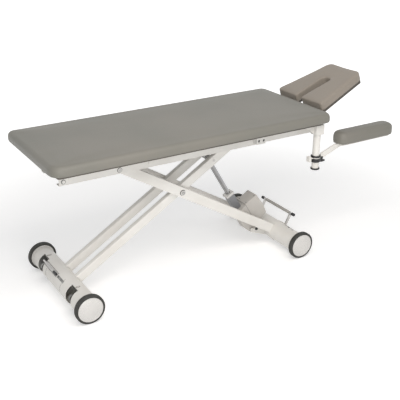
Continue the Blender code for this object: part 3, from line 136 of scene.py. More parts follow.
def finish_of(name, dark, light, grain, rough, bump, patch=6.0, stretch=(1.0, 1.0, 1.0), **sockets):
    """A painted, metal or plastic look.

    dark and light blend over clouds of scale patch. The fine noise, of scale grain, moves the
    roughness between the two values of rough and raises the surface by bump metres.
    """
    made = bpy.data.materials.new(name)
    made.use_nodes = True
    tree = made.node_tree
    shader = tree.nodes["Principled BSDF"]
    place = tree.nodes.new("ShaderNodeTexCoord")
    cloud = noise(tree, place, patch)
    blend = tree.nodes.new("ShaderNodeValToRGB")
    blend.color_ramp.elements[0].position = BLEND_FROM
    blend.color_ramp.elements[1].position = BLEND_TO
    blend.color_ramp.elements[0].color = dark
    blend.color_ramp.elements[1].color = light
    wire(tree, cloud, "Fac", blend, "Fac")
    wire(tree, blend, "Color", shader, "Base Color")
    fine = noise(tree, place, grain, 4.0, stretch)
    gloss = add(tree, "ShaderNodeMapRange", To_Min=rough[0], To_Max=rough[1])
    wire(tree, fine, "Fac", gloss, "Value")
    wire(tree, gloss, "Result", shader, "Roughness")
    relief = add(tree, "ShaderNodeBump", Strength=RELIEF_STRENGTH, Distance=bump)
    wire(tree, fine, "Fac", relief, "Height")
    wire(tree, relief, "Normal", shader, "Normal")
    for socket, value in sockets.items():
        shader.inputs[socket.replace("_", " ")].default_value = value
    print("finish", name)
    return made


# %% [markdown]
# ## Paint, metal, rubber and plastic
#
# The frame is powder coated: an off-white that has the faint pebble of an orange peel.
# Bare steel is drawn or brushed, so its noise is stretched along one axis.
# The tyres are matt rubber, the wheel caps a pearly plastic with a thin clear gloss on it.
# The last finish is only for joints and lips, and for painted shadow lines.

# %% Hard finishes
white_paint = finish_of(
    "white_powder_coat", tone(226, 223, 217), tone(233, 231, 226), 900, (0.38, 0.52), 0.00012,
    Coat_Weight=0.15, Coat_Roughness=0.3,
)
bright_steel = finish_of(
    "bright_steel", tone(176, 174, 172), tone(205, 203, 200), 260, (0.22, 0.42), 0.00005,
    stretch=(1.0, 0.04, 1.0), Metallic=1.0,
)
polished_rod = finish_of(
    "polished_rod", tone(140, 140, 141), tone(165, 165, 165), 300, (0.12, 0.25), 0.00003,
    stretch=(1.0, 1.0, 0.1), Metallic=1.0,
)
grey_zinc = finish_of(
    "grey_zinc", tone(120, 120, 118), tone(158, 158, 155), 60, (0.35, 0.55), 0.00008,
    patch=40.0, Metallic=0.8,
)
extruded_grey = finish_of(
    "extruded_grey", tone(128, 129, 132), tone(146, 147, 150), 400, (0.38, 0.55), 0.00005,
    stretch=(1.0, 1.0, 0.05), Metallic=0.25,
)
tyre_rubber = finish_of(
    "tyre_rubber", tone(52, 52, 50), tone(66, 66, 63), 500, (0.55, 0.75), 0.0002,
    patch=25.0, Specular_IOR_Level=0.35,
)
black_plastic = finish_of(
    "black_plastic", tone(24, 24, 26), tone(34, 34, 35), 700, (0.35, 0.5), 0.00008,
)
pearl_plastic = finish_of(
    "pearl_plastic", tone(205, 203, 200), tone(215, 213, 209), 800, (0.22, 0.32), 0.00003,
    Coat_Weight=0.4, Coat_Roughness=0.12, Metallic=0.15,
)
housing_plastic = finish_of(
    "housing_plastic", tone(196, 192, 186), tone(206, 202, 196), 1400, (0.45, 0.6), 0.00015,
)
# Dark joints and lips, and painted shadow round the pivots and beside the lever's bed.
seam_dark = finish_of(
    "seam_dark", tone(70, 68, 66), tone(88, 86, 83), 300, (0.6, 0.8), 0.0001,
)

# %% [markdown]
# ## Vinyl
#
# Treatment pads wear a coated vinyl: closed, easy to wipe, with a fine leather-like pebble.
# A Voronoi texture gives the pebbles, and its distance to the cell's edge the valleys between them.
# A little sheen keeps the pads soft at a low angle, where plain plastic would go dark.

# %% Vinyl finish
PEBBLE_SCALE = 650
PEBBLE_DEPTH = 0.00015
PEBBLE_STRENGTH = 0.35


def vinyl(name, dark, light):
    made = finish_of(name, dark, light, 180, (0.42, 0.56), 0.0001, patch=2.5, Sheen_Weight=0.12,
                     Sheen_Roughness=0.4, Specular_IOR_Level=0.45)
    tree = made.node_tree
    relief = found(tree, "BUMP")
    pebble = add(tree, "ShaderNodeTexVoronoi", Scale=PEBBLE_SCALE)
    pebble.feature = "DISTANCE_TO_EDGE"
    grain = add(tree, "ShaderNodeBump", Strength=PEBBLE_STRENGTH, Distance=PEBBLE_DEPTH)
    wire(tree, found(tree, "TEX_COORD"), "Object", pebble, "Vector")
    wire(tree, pebble, "Distance", grain, "Height")
    wire(tree, relief, "Normal", grain, "Normal")
    wire(tree, grain, "Normal", tree.nodes["Principled BSDF"], "Normal")
    return made


grey_vinyl = vinyl("grey_vinyl", tone(121, 120, 112), tone(128, 125, 117))
# The head pad's lighter taupe is partly its own tone and partly painted light, for a top that
# catches more light than the main pad's.
taupe_vinyl = vinyl("taupe_vinyl", tone(144, 136, 126), tone(150, 141, 130))

# %% [markdown]
# ## Birch plywood
#
# The boards under the pads are plywood, painted dark as the shade under the pads, so that no pale
# edge shows below the vinyl.
# Its faces show long grain, its edges the thin plies.
# Bands across the height would be straight lines everywhere, so a noise bends them a little.

# %% Plywood finish
PLY_BANDS = 90
PLY_WANDER = 0.4
PLY_SHADE = 0.35


def plywood_finish():
    # The dark tones are painted shade: the board's edge lies in the shadow under its pad.
    made = finish_of("birch_plywood", tone(84, 78, 70), tone(98, 91, 82), 40, (0.5, 0.65),
                     0.0002, patch=5.0, stretch=(0.08, 1.0, 1.0))
    tree = made.node_tree
    plies = add(tree, "ShaderNodeTexWave", Scale=PLY_BANDS, Distortion=PLY_WANDER)
    plies.bands_direction = "Z"
    wire(tree, found(tree, "TEX_COORD"), "Object", plies, "Vector")
    mixed = tree.nodes.new("ShaderNodeMix")
    mixed.data_type = "RGBA"
    mixed.blend_type = "MULTIPLY"
    mixed.inputs["Factor"].default_value = PLY_SHADE
    # The Mix node has sockets for every data type: inputs 6 and 7 and output 2 are the colours.
    wire(tree, found(tree, "VALTORGB"), "Color", mixed, 6)
    wire(tree, plies, "Color", mixed, 7)
    wire(tree, mixed, 2, tree.nodes["Principled BSDF"], "Base Color")
    return made


birch_plywood = plywood_finish()

# %% [markdown]
# ## Making and fitting a piece
#
# Every piece is an object at the origin with its place in its mesh, as the CAD solids are.
# Fitting it hangs it on the body of the mechanism that carries it, and hides the plain solid that
# it stands for.

# %% Fitting helpers
CRISP = 38.0


def put(name, mesh, material, sharp=CRISP):
    """Link a mesh as a smooth piece, crisp where its edges turn more than sharp degrees."""
    mesh.materials.clear()
    mesh.materials.append(material)
    mesh.shade_smooth()
    mesh.set_sharp_from_angle(angle=math.radians(sharp))
    piece = bpy.data.objects.new(name, mesh)
    bpy.context.scene.collection.objects.link(piece)
    return piece


def from_bmesh(name, made, material, sharp):
    mesh = bpy.data.meshes.new(name)
    made.to_mesh(mesh)
    made.free()
    return put(name, mesh, material, sharp)


def body_of(node):
    """The CAD body that a node rides on."""
    return frame["nodes"][node].parent.name.split(":")[1]


def fit(piece, body, slot, *nodes):
    """nodes are the plain solids that the piece stands for."""
    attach(piece, body)
    if nodes:
        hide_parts(*nodes)
    print(piece.name, len(piece.data.polygons), "faces, rides on", body)
    return piece


# %% [markdown]
# ## The steel frame
#
# Rails, arms and brackets are bent and welded sheet and square tube. Their CAD shape is right,
# but a CAD edge is perfectly sharp, and no real one is: it catches a thin line of light.
# A copy of each solid is cleaned of its triangles and given a small Bevel, so the line appears.

# %% Soften an edge
SAME_POINT = 0.00001
SAME_PLANE = 0.01  # radians


def bevelled(piece, label, width, angle):
    """Break the edges that turn more than angle degrees, with a narrow round of this width."""
    edge = piece.modifiers.new(label, "BEVEL")
    edge.width = width
    edge.segments = 2
    edge.limit_method = "ANGLE"
    edge.angle_limit = math.radians(angle)
    edge.harden_normals = True
    edge.use_clamp_overlap = True


def softened(node, width, material, slot):
    """Put a clean copy in the place of a solid; a width of zero leaves it unbevelled."""
    source = frame["nodes"][node].data
    made = bmesh.new()
    made.from_mesh(source)
    bmesh.ops.remove_doubles(made, verts=made.verts, dist=SAME_POINT)
    bmesh.ops.dissolve_limit(made, angle_limit=SAME_PLANE, verts=made.verts, edges=made.edges)
    made.verts.ensure_lookup_table()
    points = [tuple(v.co) for v in made.verts]
    faces = [[v.index for v in face.verts] for face in made.faces]
    made.free()
    mesh = bpy.data.meshes.new(node + "_finished")
    mesh.from_pydata(points, [], faces)
    piece = put(node + "_finished", mesh, material)
    if width > 0:
        bevelled(piece, "soft_edge", width, 35)
    return fit(piece, body_of(node), slot, node)


# %% Frame pieces
SIDES = (("near", -1), ("far", 1))
FINE_EDGE, SHEET_EDGE, BAR_EDGE, TUBE_EDGE = 0.0003, 0.0009, 0.0010, 0.0012

painted = []
for side, way in SIDES:
    painted += [("rail_" + side, SHEET_EDGE), ("outer_arm_" + side, TUBE_EDGE),
                ("inner_arm_" + side, TUBE_EDGE), ("carrier_bar_" + side, BAR_EDGE)]
painted += [("cross_member_%d" % number, TUBE_EDGE) for number in range(1, 5)]
painted += [("head_end_frame", SHEET_EDGE), ("actuator_bracket", SHEET_EDGE),
            ("armrest_holder", SHEET_EDGE), ("arm_bar", FINE_EDGE)]
for node, width in painted:
    softened(node, width, white_paint, "white_paint")

# %% [markdown]
# ## Bolts, pins, rods and mouldings
#
# The sides of pins and rods are already round enough, so the long ones are only smoothed.
# Bolt heads, mouldings and boards get a bevel too, wider where the real edge is softer.

# %% Pins, rods, mouldings and boards
PLATE_EDGE, BOLT_EDGE, PROFILE_EDGE = 0.0004, 0.0006, 0.0008
MOULDED_EDGE, COVER_EDGE = 0.0012, 0.0022

for width, material, slot, nodes in (
    (BOLT_EDGE, bright_steel, "bright_steel",
     ("upper_pivot_near", "upper_pivot_far", "centre_pivot_near", "centre_pivot_far")),
    (0.0, bright_steel, "bright_steel",
     ("actuator_cross_pin", "head_hinge_pin", "pedal_frame", "foot_lever_frame")),
    (0.0, polished_rod, "bright_steel", ("actuator_rod",)),
    (PLATE_EDGE, grey_zinc, "grey_metal",
     ("head_bulkhead_near", "head_bulkhead_far", "foot_bulkhead_near", "foot_bulkhead_far")),
    (MOULDED_EDGE, black_plastic, "black_plastic",
     ("slide_roller_near", "pedal_cap_near", "slide_roller_far", "pedal_cap_far",
      "foot_lever_tip")),
    (COVER_EDGE, housing_plastic, "housing_plastic", ("actuator_housing",)),
    (PROFILE_EDGE, extruded_grey, "grey_metal", ("spindle_tube",)),
    # The boards' dark tone is painted shade from the pads above them.
    (MOULDED_EDGE, birch_plywood, "plywood", ("main_board", "head_board")),
):
    for node in nodes:
        softened(node, width, material, slot)

# %% [markdown]
# ## The tubes of the two bases
#
# Each end of the table stands on a cylinder across it. The photograph shows it big and close,
# so it is rolled anew from a grid of faces round the axis, with its windows and slots left out.
# Leaving faces out keeps the grid clean, where a Boolean would cut it into slivers.
# Solidify then gives the sheet its wall, and Bevel breaks the cut edges.

# %% Rolled tube
SHEET_STEP = 0.02
SHEET_TURN = 3.0
TUBE_WALL = 0.003
TUBE_RIM = 0.0006
ROUND = 30.0


def ticks(low, high, step, marks):
    """Even steps from low to high that also meet every mark exactly."""
    count = max(1, round((high - low) / step))
    even = [low + (high - low) * i / count for i in range(count + 1)]
    kept = [v for v in even if all(abs(v - m) > step * 0.35 for m in marks)]
    return sorted(kept + list(marks))


def rolled(name, axis, radius, ys, turns, windows, material):
    """A curved sheet: rows of points along Y at each angle, with no faces in the windows.

    Angles are degrees from +X towards +Z, and the sheet closes where they come round to the start.
    windows are (low y, high y, low angle, high angle).
    """
    closed = turns[-1] - turns[0] > 359.9
    made = bmesh.new()
    grid = []
    for turn in turns[:-1] if closed else turns:
        spot = math.radians(turn)
        x = axis[0] + radius * math.cos(spot)
        z = axis[1] + radius * math.sin(spot)
        grid.append([made.verts.new((x, y, z)) for y in ys])
    for i in range(len(turns) - 1):
        this, after = grid[i], grid[(i + 1) % len(grid)]
        middle = (turns[i] + turns[i + 1]) / 2
        for j in range(len(ys) - 1):
            y = (ys[j] + ys[j + 1]) / 2
            if not any(w[0] < y < w[1] and w[2] < middle < w[3] for w in windows):
                made.faces.new((this[j], this[j + 1], after[j + 1], after[j]))
    loose = [v for v in made.verts if not v.link_faces]
    bmesh.ops.delete(made, geom=loose, context="VERTS")
    return from_bmesh(name, made, material, ROUND)


def thickened(piece, thick, offset):
    wall = piece.modifiers.new("wall", "SOLIDIFY")
    wall.thickness = thick
    wall.offset = offset


def rolled_tube(name, axis, radius, windows, material):
    start = min([w[2] for w in windows] + [0.0]) - 1.0
    ys = ticks(-TUBE_HALF, TUBE_HALF, SHEET_STEP, sorted({y for w in windows for y in w[:2]}))
    turns = ticks(start, start + 360.0, SHEET_TURN, sorted({a for w in windows for a in w[2:]}))
    turns[-1] = turns[0] + 360.0
    piece = rolled(name, axis, radius, ys, turns, windows, material)
    thickened(piece, TUBE_WALL, -1.0)
    bevelled(piece, "cut_edge", TUBE_RIM, 50)
    return piece


HEAD_AXIS = (0.3831, 0.079)
FOOT_AXIS = (-0.9352, 0.079)
HEAD_TUBE = 0.057
FOOT_TUBE = 0.061
TUBE_HALF = 0.3147

pedal_slots = [(-0.133, -0.119, -68.0, 50.0), (0.119, 0.133, -68.0, 50.0)]
head_windows = [(-0.230, -0.160, -98.0, 70.0), (0.160, 0.230, -98.0, 70.0)]
foot_windows = [(-0.230, -0.160, 110.0, 278.0), (0.160, 0.230, 110.0, 278.0)]
head_tube = rolled_tube("head_tube_shell", HEAD_AXIS, HEAD_TUBE, pedal_slots + head_windows,
                        white_paint)
fit(head_tube, "head_base", "white_paint", "head_base_tube")
foot_tube = rolled_tube("foot_tube_shell", FOOT_AXIS, FOOT_TUBE, foot_windows, white_paint)
fit(foot_tube, "inner_arms", "white_paint", "foot_base_tube")

# %% [markdown]
# ## Turned parts
#
# Tyres, caps and the armrest's post are round about an axis, so one helper revolves a profile.
# A profile is a list of (distance along the axis, radius). A radius of zero closes in one pole.

# %% Revolve a profile
def turned(name, origin, axis, profile, material, sides, loop=False):
    """origin and axis place the profile; loop joins its last point to its first, for a ring."""
    up = Vector(axis).normalized()
    across = up.orthogonal().normalized()
    other = up.cross(across)
    made = bmesh.new()
    rings = []
    for along, radius in profile:
        middle = Vector(origin) + up * along
        if radius < 1e-7:
            rings.append([made.verts.new(middle)])
            continue
        ring = []
        for i in range(sides):
            spot = 2 * math.pi * i / sides
            out = across * math.cos(spot) + other * math.sin(spot)
            ring.append(made.verts.new(middle + out * radius))
        rings.append(ring)
    pairs = list(zip(rings, rings[1:]))
    if loop:
        pairs.append((rings[-1], rings[0]))
    for low, high in pairs:
        for i in range(sides):
            j = (i + 1) % sides
            # A pole is a ring of one point, so its faces lose a corner.
            a, b = low[i % len(low)], low[j % len(low)]
            c, d = high[j % len(high)], high[i % len(high)]
            made.faces.new(list(dict.fromkeys((a, b, c, d))))
    bmesh.ops.recalc_face_normals(made, faces=made.faces)
    return from_bmesh(name, made, material, ROUND)


def arc(centre, radius, start, end, steps=8):
    """Profile points on a circle, its angles in degrees from the axis towards the radius."""
    spots = [math.radians(start + (end - start) * i / steps) for i in range(steps + 1)]
    return [(centre[0] + radius * math.cos(a), centre[1] + radius * math.sin(a)) for a in spots]


# %% [markdown]
# ## Wheels
#
# A thick rubber ring sits on each end of the cylinders, and a domed cap closes it.
# The ring has rounded shoulders and a narrow groove where it meets the cap;
# the cap has a bright raised rim round a shallow dome.

# %% Rings and caps
WHEEL_SIDES = 128
DOME_RIM, DOME_RISE, DOME_TOP = 0.0605, 0.0078, 0.3518

ring_profile = (
    [(0.3150, 0.0668)]
    + arc((0.3205, 0.0735), 0.0055, 180, 90)
    + arc((0.3375, 0.0735), 0.0055, 90, 0)
    + [(0.3430, 0.0702), (0.3418, 0.0696), (0.3418, 0.0682), (0.3428, 0.0677), (0.3428, 0.0668)]
)
dome_radius = (DOME_RIM ** 2 + DOME_RISE ** 2) / (2 * DOME_RISE)
dome_slope = math.degrees(math.asin(DOME_RIM / dome_radius))
cap_profile = (
    [(0.3152, 0.0), (0.3152, 0.0664)]
    + arc((0.3420, 0.0645), 0.0019, 90, 0, 5)
    + arc((0.3420, 0.0635), 0.0019, 0, -60, 4)
    + arc((DOME_TOP - dome_radius, 0.0), dome_radius, dome_slope, 0, 14)[:-1]
    + [(DOME_TOP, 0.0)]
)
for end, place in (("head", HEAD_AXIS), ("foot", FOOT_AXIS)):
    for side, way in SIDES:
        origin, out = (place[0], 0.0, place[1]), (0, way, 0)
        node = "%s_ring_%s" % (end, side)
        ring = turned(node + "_tyre", origin, out, ring_profile, tyre_rubber, WHEEL_SIDES, True)
        fit(ring, body_of(node), "dark_rubber", node)
        node = "%s_cap_%s" % (end, side)
        cap = turned(node + "_dome", origin, out, cap_profile, pearl_plastic, WHEEL_SIDES)
        fit(cap, body_of(node), "pearl_plastic", node)

# %% [markdown]
# ## Transport castors
#
# Behind each window hides a small wheel, which the pedal or the lever pushes to the ground.
# The photograph shows a black tyre round a light hub. A narrow raised tread runs round the tyre.

# %% Castors
CASTOR_HALF = 0.012
CASTOR_Y = 0.195
CASTOR_SIDES = 48
castor_places = {"head": (0.4161, 0.0819), "foot": (-0.9682, 0.0819)}
tyre_profile = (
    [(-CASTOR_HALF, 0.0135)]
    + arc((-CASTOR_HALF + 0.004, 0.017), 0.004, 180, 90, 5)
    + arc((CASTOR_HALF - 0.004, 0.017), 0.004, 90, 0, 5)
    + [(CASTOR_HALF, 0.0135), (CASTOR_HALF - 0.0015, 0.0130), (-CASTOR_HALF + 0.0015, 0.0130)]
)
hub_profile = [
    (-CASTOR_HALF + 0.0005, 0.0), (-CASTOR_HALF + 0.0005, 0.0055), (-CASTOR_HALF + 0.003, 0.0075),
    (-CASTOR_HALF + 0.003, 0.0115), (-CASTOR_HALF + 0.001, 0.0129),
    (CASTOR_HALF - 0.001, 0.0129), (CASTOR_HALF - 0.003, 0.0115),
    (CASTOR_HALF - 0.003, 0.0075), (CASTOR_HALF - 0.0005, 0.0055), (CASTOR_HALF - 0.0005, 0.0),
]
tread_profile = [(-0.0065, 0.0185), (-0.0060, 0.0212), (0.0060, 0.0212), (0.0065, 0.0185)]
for end, (x, z) in castor_places.items():
    for side, way in SIDES:
        node = "%s_castor_%s" % (end, side)
        spot, out = (x, way * CASTOR_Y, z), (0, 1, 0)
        tyre = turned(node + "_tyre", spot, out, tyre_profile, tyre_rubber, CASTOR_SIDES, True)
        fit(tyre, body_of(node), "dark_rubber", node)
        hub = turned(node + "_hub", spot, out, hub_profile, pearl_plastic, CASTOR_SIDES)
        fit(hub, body_of(node), "pearl_plastic")
        tread = turned(node + "_tread", spot, out, tread_profile, grey_zinc, CASTOR_SIDES, True)
        fit(tread, body_of(node), "grey_metal")

# %% [markdown]
# ## Armrest post, collar and lever
#
# The armrest hangs on a steel post. A black plastic collar slides on it, a clamp lever holds the
# height, and a black ring at the foot keeps the collar from falling off.
# The post and its end ring are turned here; the collar has lugs, so it is the softened CAD solid.

# %% Post parts
POST_AXIS = (0.5130, -0.260)
POST_SIDES = 64
post_profile = [(0.5036, 0.0), (0.5036, 0.0185), (0.5056, 0.0205), (0.7563, 0.0205), (0.7563, 0.0)]
post = turned("post_tube", (*POST_AXIS, 0.0), (0, 0, 1), post_profile, white_paint, POST_SIDES)
fit(post, "deck", "white_paint", "armrest_post")
foot_ring_profile = (
    [(0.5013, 0.0), (0.5013, 0.0205)]
    + arc((0.5038, 0.0238), 0.0025, 180, 90, 5)
    + arc((0.5086, 0.0238), 0.0025, 90, 0, 5)
    + [(0.5111, 0.0206), (0.5040, 0.0206), (0.5034, 0.0)]
)
foot_ring = turned("post_foot_ring", (*POST_AXIS, 0.0), (0, 0, 1), foot_ring_profile, black_plastic,
                   POST_SIDES)
fit(foot_ring, "deck", "black_plastic", "post_cap")
softened("arm_sleeve", FINE_EDGE, black_plastic, "black_plastic")
softened("clamp_lever", MOULDED_EDGE, black_plastic, "black_plastic")

# %% [markdown]
# ## Pads
#
# A pad is foam in tight vinyl: flat where it rests on its board, with a swelling top, soft edges.
# It starts as a slab over a rounded outline, a few millimetres small all round.
# A voxel remesh gives it an even skin, and the Cloth modifier blows that skin up with pressure.
# The underside is pinned to the board, and no point may move further than a cap.
# Tight vinyl has no small creases, so each point's movement is averaged with its neighbours'.

# %% Slab over an outline
HEM = 0.009
CORNER_STEPS = 8
EDGE_SEGMENTS, HEM_SEGMENTS = 5, 3


def rounded(corners, reach):
    """The polygon's corners as smooth curves that start reach metres before each corner."""
    outline = []
    for i, corner in enumerate(corners):
        here = Vector(corner)
        before = Vector(corners[i - 1]) - here
        after = Vector(corners[(i + 1) % len(corners)]) - here
        start = here + before.normalized() * min(reach[i], before.length * 0.49)
        end = here + after.normalized() * min(reach[i], after.length * 0.49)
        for k in range(CORNER_STEPS + 1):
            t = k / CORNER_STEPS
            outline.append((1 - t) ** 2 * start + 2 * t * (1 - t) * here + t * t * end)
    return outline


def slab(outline, low, high, edge):
    """A flat slab, rounded by edge metres round its top and by HEM metres round its underside."""
    made = bmesh.new()
    under = [made.verts.new((p[0], p[1], low)) for p in outline]
    over = [made.verts.new((p[0], p[1], high)) for p in outline]
    made.faces.new(list(reversed(under)))
    made.faces.new(over)
    for i in range(len(outline)):
        j = (i + 1) % len(outline)
        made.faces.new((under[i], under[j], over[j], over[i]))
    bmesh.ops.remove_doubles(made, verts=made.verts, dist=0.0001)
    rim = [e for e in made.edges if all(v.co.z > high - 1e-6 for v in e.verts)]
    bmesh.ops.bevel(made, geom=rim, offset=edge, segments=EDGE_SEGMENTS, profile=0.5,
                    affect="EDGES", clamp_overlap=True)
    hem = [e for e in made.edges if all(v.co.z < low + 1e-6 for v in e.verts)]
    bmesh.ops.bevel(made, geom=hem, offset=HEM, segments=HEM_SEGMENTS, profile=0.5,
                    affect="EDGES", clamp_overlap=True)
    bmesh.ops.recalc_face_normals(made, faces=made.faces)
    return made


# %% Blow a pad up
CALM = 0.035
SIMULATED_FRAMES = 20
PRESSURE = 4
ALL_SMOOTH = 180.0


def stuffing(pad, pinned):
    """Cloth that is held at the pinned points and blown up from within."""
    under = pad.vertex_groups.new(name="on_the_board")
    under.add(pinned, 1.0, "REPLACE")
    cloth = pad.modifiers.new("stuffing", "CLOTH")
    cloth.settings.quality = 5
    cloth.settings.mass = 0.3
    cloth.settings.tension_stiffness = 20
    cloth.settings.compression_stiffness = 20
    cloth.settings.bending_stiffness = 2
    cloth.settings.use_pressure = True
    cloth.settings.uniform_pressure_force = PRESSURE
    cloth.settings.vertex_group_mass = "on_the_board"
    cloth.settings.effector_weights.gravity = 0
    cloth.collision_settings.use_collision = False


def calmed(moved, mesh, rounds):
    """Each point's movement averaged with its neighbours', this many times."""
    ends = np.zeros(len(mesh.edges) * 2, dtype=int)
    mesh.edges.foreach_get("vertices", ends)
    ends = ends.reshape(-1, 2)
    shares = np.bincount(ends.reshape(-1), minlength=len(moved))[:, None]
    for _ in range(rounds):
        around = np.zeros_like(moved)
        np.add.at(around, ends[:, 0], moved[ends[:, 1]])
        np.add.at(around, ends[:, 1], moved[ends[:, 0]])
        moved = 0.5 * moved + 0.5 * around / shares
    return moved


def places_of(mesh):
    flat = np.zeros(len(mesh.vertices) * 3)
    mesh.vertices.foreach_get("co", flat)
    return flat.reshape(-1, 3)


def stuffed(name, outline, low, high, edge, voxel, cap, material, place=None):
    """The slab as a swollen pad; place moves it from its own frame to the table's.

    Creases narrower than about CALM are averaged away, and no point moves further than cap.
    """
    pad = from_bmesh(name, slab(outline, low, high, edge), material, ALL_SMOOTH)
    even = pad.modifiers.new("even_skin", "REMESH")
    even.mode = "VOXEL"
    even.voxel_size = voxel
    graph = bpy.context.evaluated_depsgraph_get()
    mesh = bpy.data.meshes.new_from_object(pad.evaluated_get(graph))
    pad.modifiers.clear()
    pad.data = mesh
    rest = places_of(mesh)
    stuffing(pad, [int(i) for i in np.nonzero(rest[:, 2] < low + voxel * 0.6)[0]])
    for step in range(1, SIMULATED_FRAMES + 1):
        bpy.context.scene.frame_set(step)
    graph = bpy.context.evaluated_depsgraph_get()
    moved = places_of(pad.evaluated_get(graph).to_mesh()) - rest
    pad.modifiers.clear()
    pad.vertex_groups.clear()
    bpy.context.scene.frame_set(1)
    moved = calmed(moved, mesh, round(CALM / voxel) ** 2)
    far = np.maximum(np.linalg.norm(moved, axis=1, keepdims=True), 1e-9)
    rest = rest + moved * (cap * np.tanh(far / cap) / far)
    print(name, "swells up to", round(float(far.max()) * 1000, 1), "mm before the cap")
    mesh.vertices.foreach_set("co", rest.reshape(-1))
    if place is not None:
        mesh.transform(place)
    mesh.materials.clear()
    mesh.materials.append(material)
    mesh.shade_smooth()
    finer = pad.modifiers.new("finer_skin", "SUBSURF")
    finer.levels = 1
    finer.render_levels = 1
    return pad


# %% [markdown]
# ## Main pad
#
# One long flat pad whose top edge rolls over in a soft round. Its near foot corner is the roundest,
# since the photograph shows the end of the rail past it.
# Each outline is drawn SWELL metres small, to leave room for the swelling.

# %% Main pad
SWELL = 0.003
x0, x1, half = -1.0740 + SWELL, 0.5700 - SWELL, 0.335 - SWELL
main_outline = rounded([(x0, -half), (x1, -half), (x1, half), (x0, half)],
                       [0.075, 0.055, 0.050, 0.050])
main_pad = stuffed("main_pad_cushion", main_outline, low=0.7868, high=0.8445 - SWELL, edge=0.024,
                   voxel=0.010, cap=0.004, material=grey_vinyl)
fit(main_pad, "deck", "grey_upholstery", "main_pad")

# %% [markdown]
# ## Head pad
#
# It narrows to the end and has a slot for the nose, open towards the main pad.
# The outline runs round the slot, so the vinyl rolls into it as on the real pad.
# It is made flat in the head section's own frame, then turned up about the hinge.

# %% Head pad
TILT = math.radians(19.9)
HINGE = Matrix.Translation((0.5780, 0.0, 0.7685)) @ Matrix.Rotation(-TILT, 4, "Y")
h0, h1 = 0.0255 + SWELL, 0.4055 - SWELL
wide, thin = 0.206 - SWELL, 0.139 - SWELL
slot_wide, slot_thin, slot_end = 0.022, 0.034, 0.262
head_outline = rounded(
    [(h0, -wide), (h1, -thin), (h1, thin), (h0, wide),
     (h0, slot_wide), (slot_end, slot_thin), (slot_end, -slot_thin), (h0, -slot_wide)],
    [0.025, 0.040, 0.040, 0.025, 0.010, 0.033, 0.033, 0.010],
)
head_pad = stuffed("head_pad_cushion", head_outline, low=0.0346, high=0.0874 - SWELL, edge=0.017,
                   voxel=0.005, cap=0.004, material=taupe_vinyl, place=HINGE)
fit(head_pad, "head_section", "taupe_upholstery", "head_pad")

# %% [markdown]
# ## Arm pad
#
# The arm pad is short and thick, so its round ends and soft edges show most.

# %% Arm pad
a0, a1, arm_half = 0.654 + SWELL, 1.074 - SWELL, 0.056 - SWELL
near_y, far_y = POST_AXIS[1] - arm_half, POST_AXIS[1] + arm_half
arm_outline = rounded([(a0, near_y), (a1, near_y), (a1, far_y), (a0, far_y)], [0.052] * 4)
arm_pad = stuffed("arm_pad_cushion", arm_outline, low=0.6268, high=0.6985 - SWELL, edge=0.029,
                  voxel=0.005, cap=0.005, material=grey_vinyl)
fit(arm_pad, "armrest", "grey_upholstery", "arm_pad")

# %% [markdown]
# ## Ribbed grip, by Geometry Nodes
#
# The foot pedal's bar wears a ribbed sleeve. Ribs repeat, so Geometry Nodes place them:
# a line of points carries one short cylinder each, and a thinner core joins them.
# The tree has named inputs for its sizes, so that another grip needs no new code.

# %% Node tree helpers
def new_tree(name, sizes):
    """A geometry tree with named float or integer inputs and one geometry output."""
    tree = bpy.data.node_groups.new(name, "GeometryNodeTree")
    tree.interface.new_socket("Geometry", in_out="INPUT", socket_type="NodeSocketGeometry")
    for label, value in sizes.items():
        kind = "NodeSocketInt" if isinstance(value, int) else "NodeSocketFloat"
        made = tree.interface.new_socket(label, in_out="INPUT", socket_type=kind)
        made.default_value = value
    tree.interface.new_socket("Geometry", in_out="OUTPUT", socket_type="NodeSocketGeometry")
    return tree, tree.nodes.new("NodeGroupInput"), tree.nodes.new("NodeGroupOutput")


def end_tree(tree, last, leave, material):
    """Realize the instances and set the material, as the export needs."""
    real = tree.nodes.new("GeometryNodeRealizeInstances")
    paint = add(tree, "GeometryNodeSetMaterial", Material=material)
    tree.links.new(last, real.inputs["Geometry"])
    wire(tree, real, "Geometry", paint, "Geometry")
    wire(tree, paint, "Geometry", leave, "Geometry")


def grown(name, mesh, tree, values, material):
    """Run the tree on a mesh with these input values and keep the result as a plain mesh."""
    seed = bpy.data.objects.new(name + "_seed", mesh)
    bpy.context.scene.collection.objects.link(seed)
    grow = seed.modifiers.new("grow", "NODES")
    grow.node_group = tree
    for item in tree.interface.items_tree:
        if item.in_out == "INPUT" and item.name in values:
            grow[item.identifier] = values[item.name]
    graph = bpy.context.evaluated_depsgraph_get()
    result = bpy.data.meshes.new_from_object(seed.evaluated_get(graph))
    seed.modifiers.clear()
    bpy.data.objects.remove(seed)
    return put(name, result, material, 35.0)


# %% Grip tree
def grip_tree():
    sizes = {"Ribs": 8, "Pitch": 0.01, "Rib Radius": 0.01, "Rib Length": 0.004}
    tree, enter, leave = new_tree("ribbed_grip", sizes)
    line = tree.nodes.new("GeometryNodeMeshLine")
    line.mode = "OFFSET"
    step = tree.nodes.new("ShaderNodeCombineXYZ")
    rib = add(tree, "GeometryNodeMeshCylinder", Vertices=32)
    lay = add(tree, "GeometryNodeTransform", Rotation=(math.pi / 2, 0, 0))
    spread = tree.nodes.new("GeometryNodeInstanceOnPoints")
    carry = tree.nodes.new("GeometryNodeInstanceOnPoints")
    wire(tree, enter, "Ribs", line, "Count")
    wire(tree, enter, "Pitch", step, "Y")
    wire(tree, step, "Vector", line, "Offset")
    wire(tree, enter, "Rib Radius", rib, "Radius")
    wire(tree, enter, "Rib Length", rib, "Depth")
    wire(tree, rib, "Mesh", lay, "Geometry")
    wire(tree, line, "Mesh", spread, "Points")
    wire(tree, lay, "Geometry", spread, "Instance")
    wire(tree, enter, "Geometry", carry, "Points")
    wire(tree, spread, "Instances", carry, "Instance")
    end_tree(tree, carry.outputs["Instances"], leave, housing_plastic)
    return tree


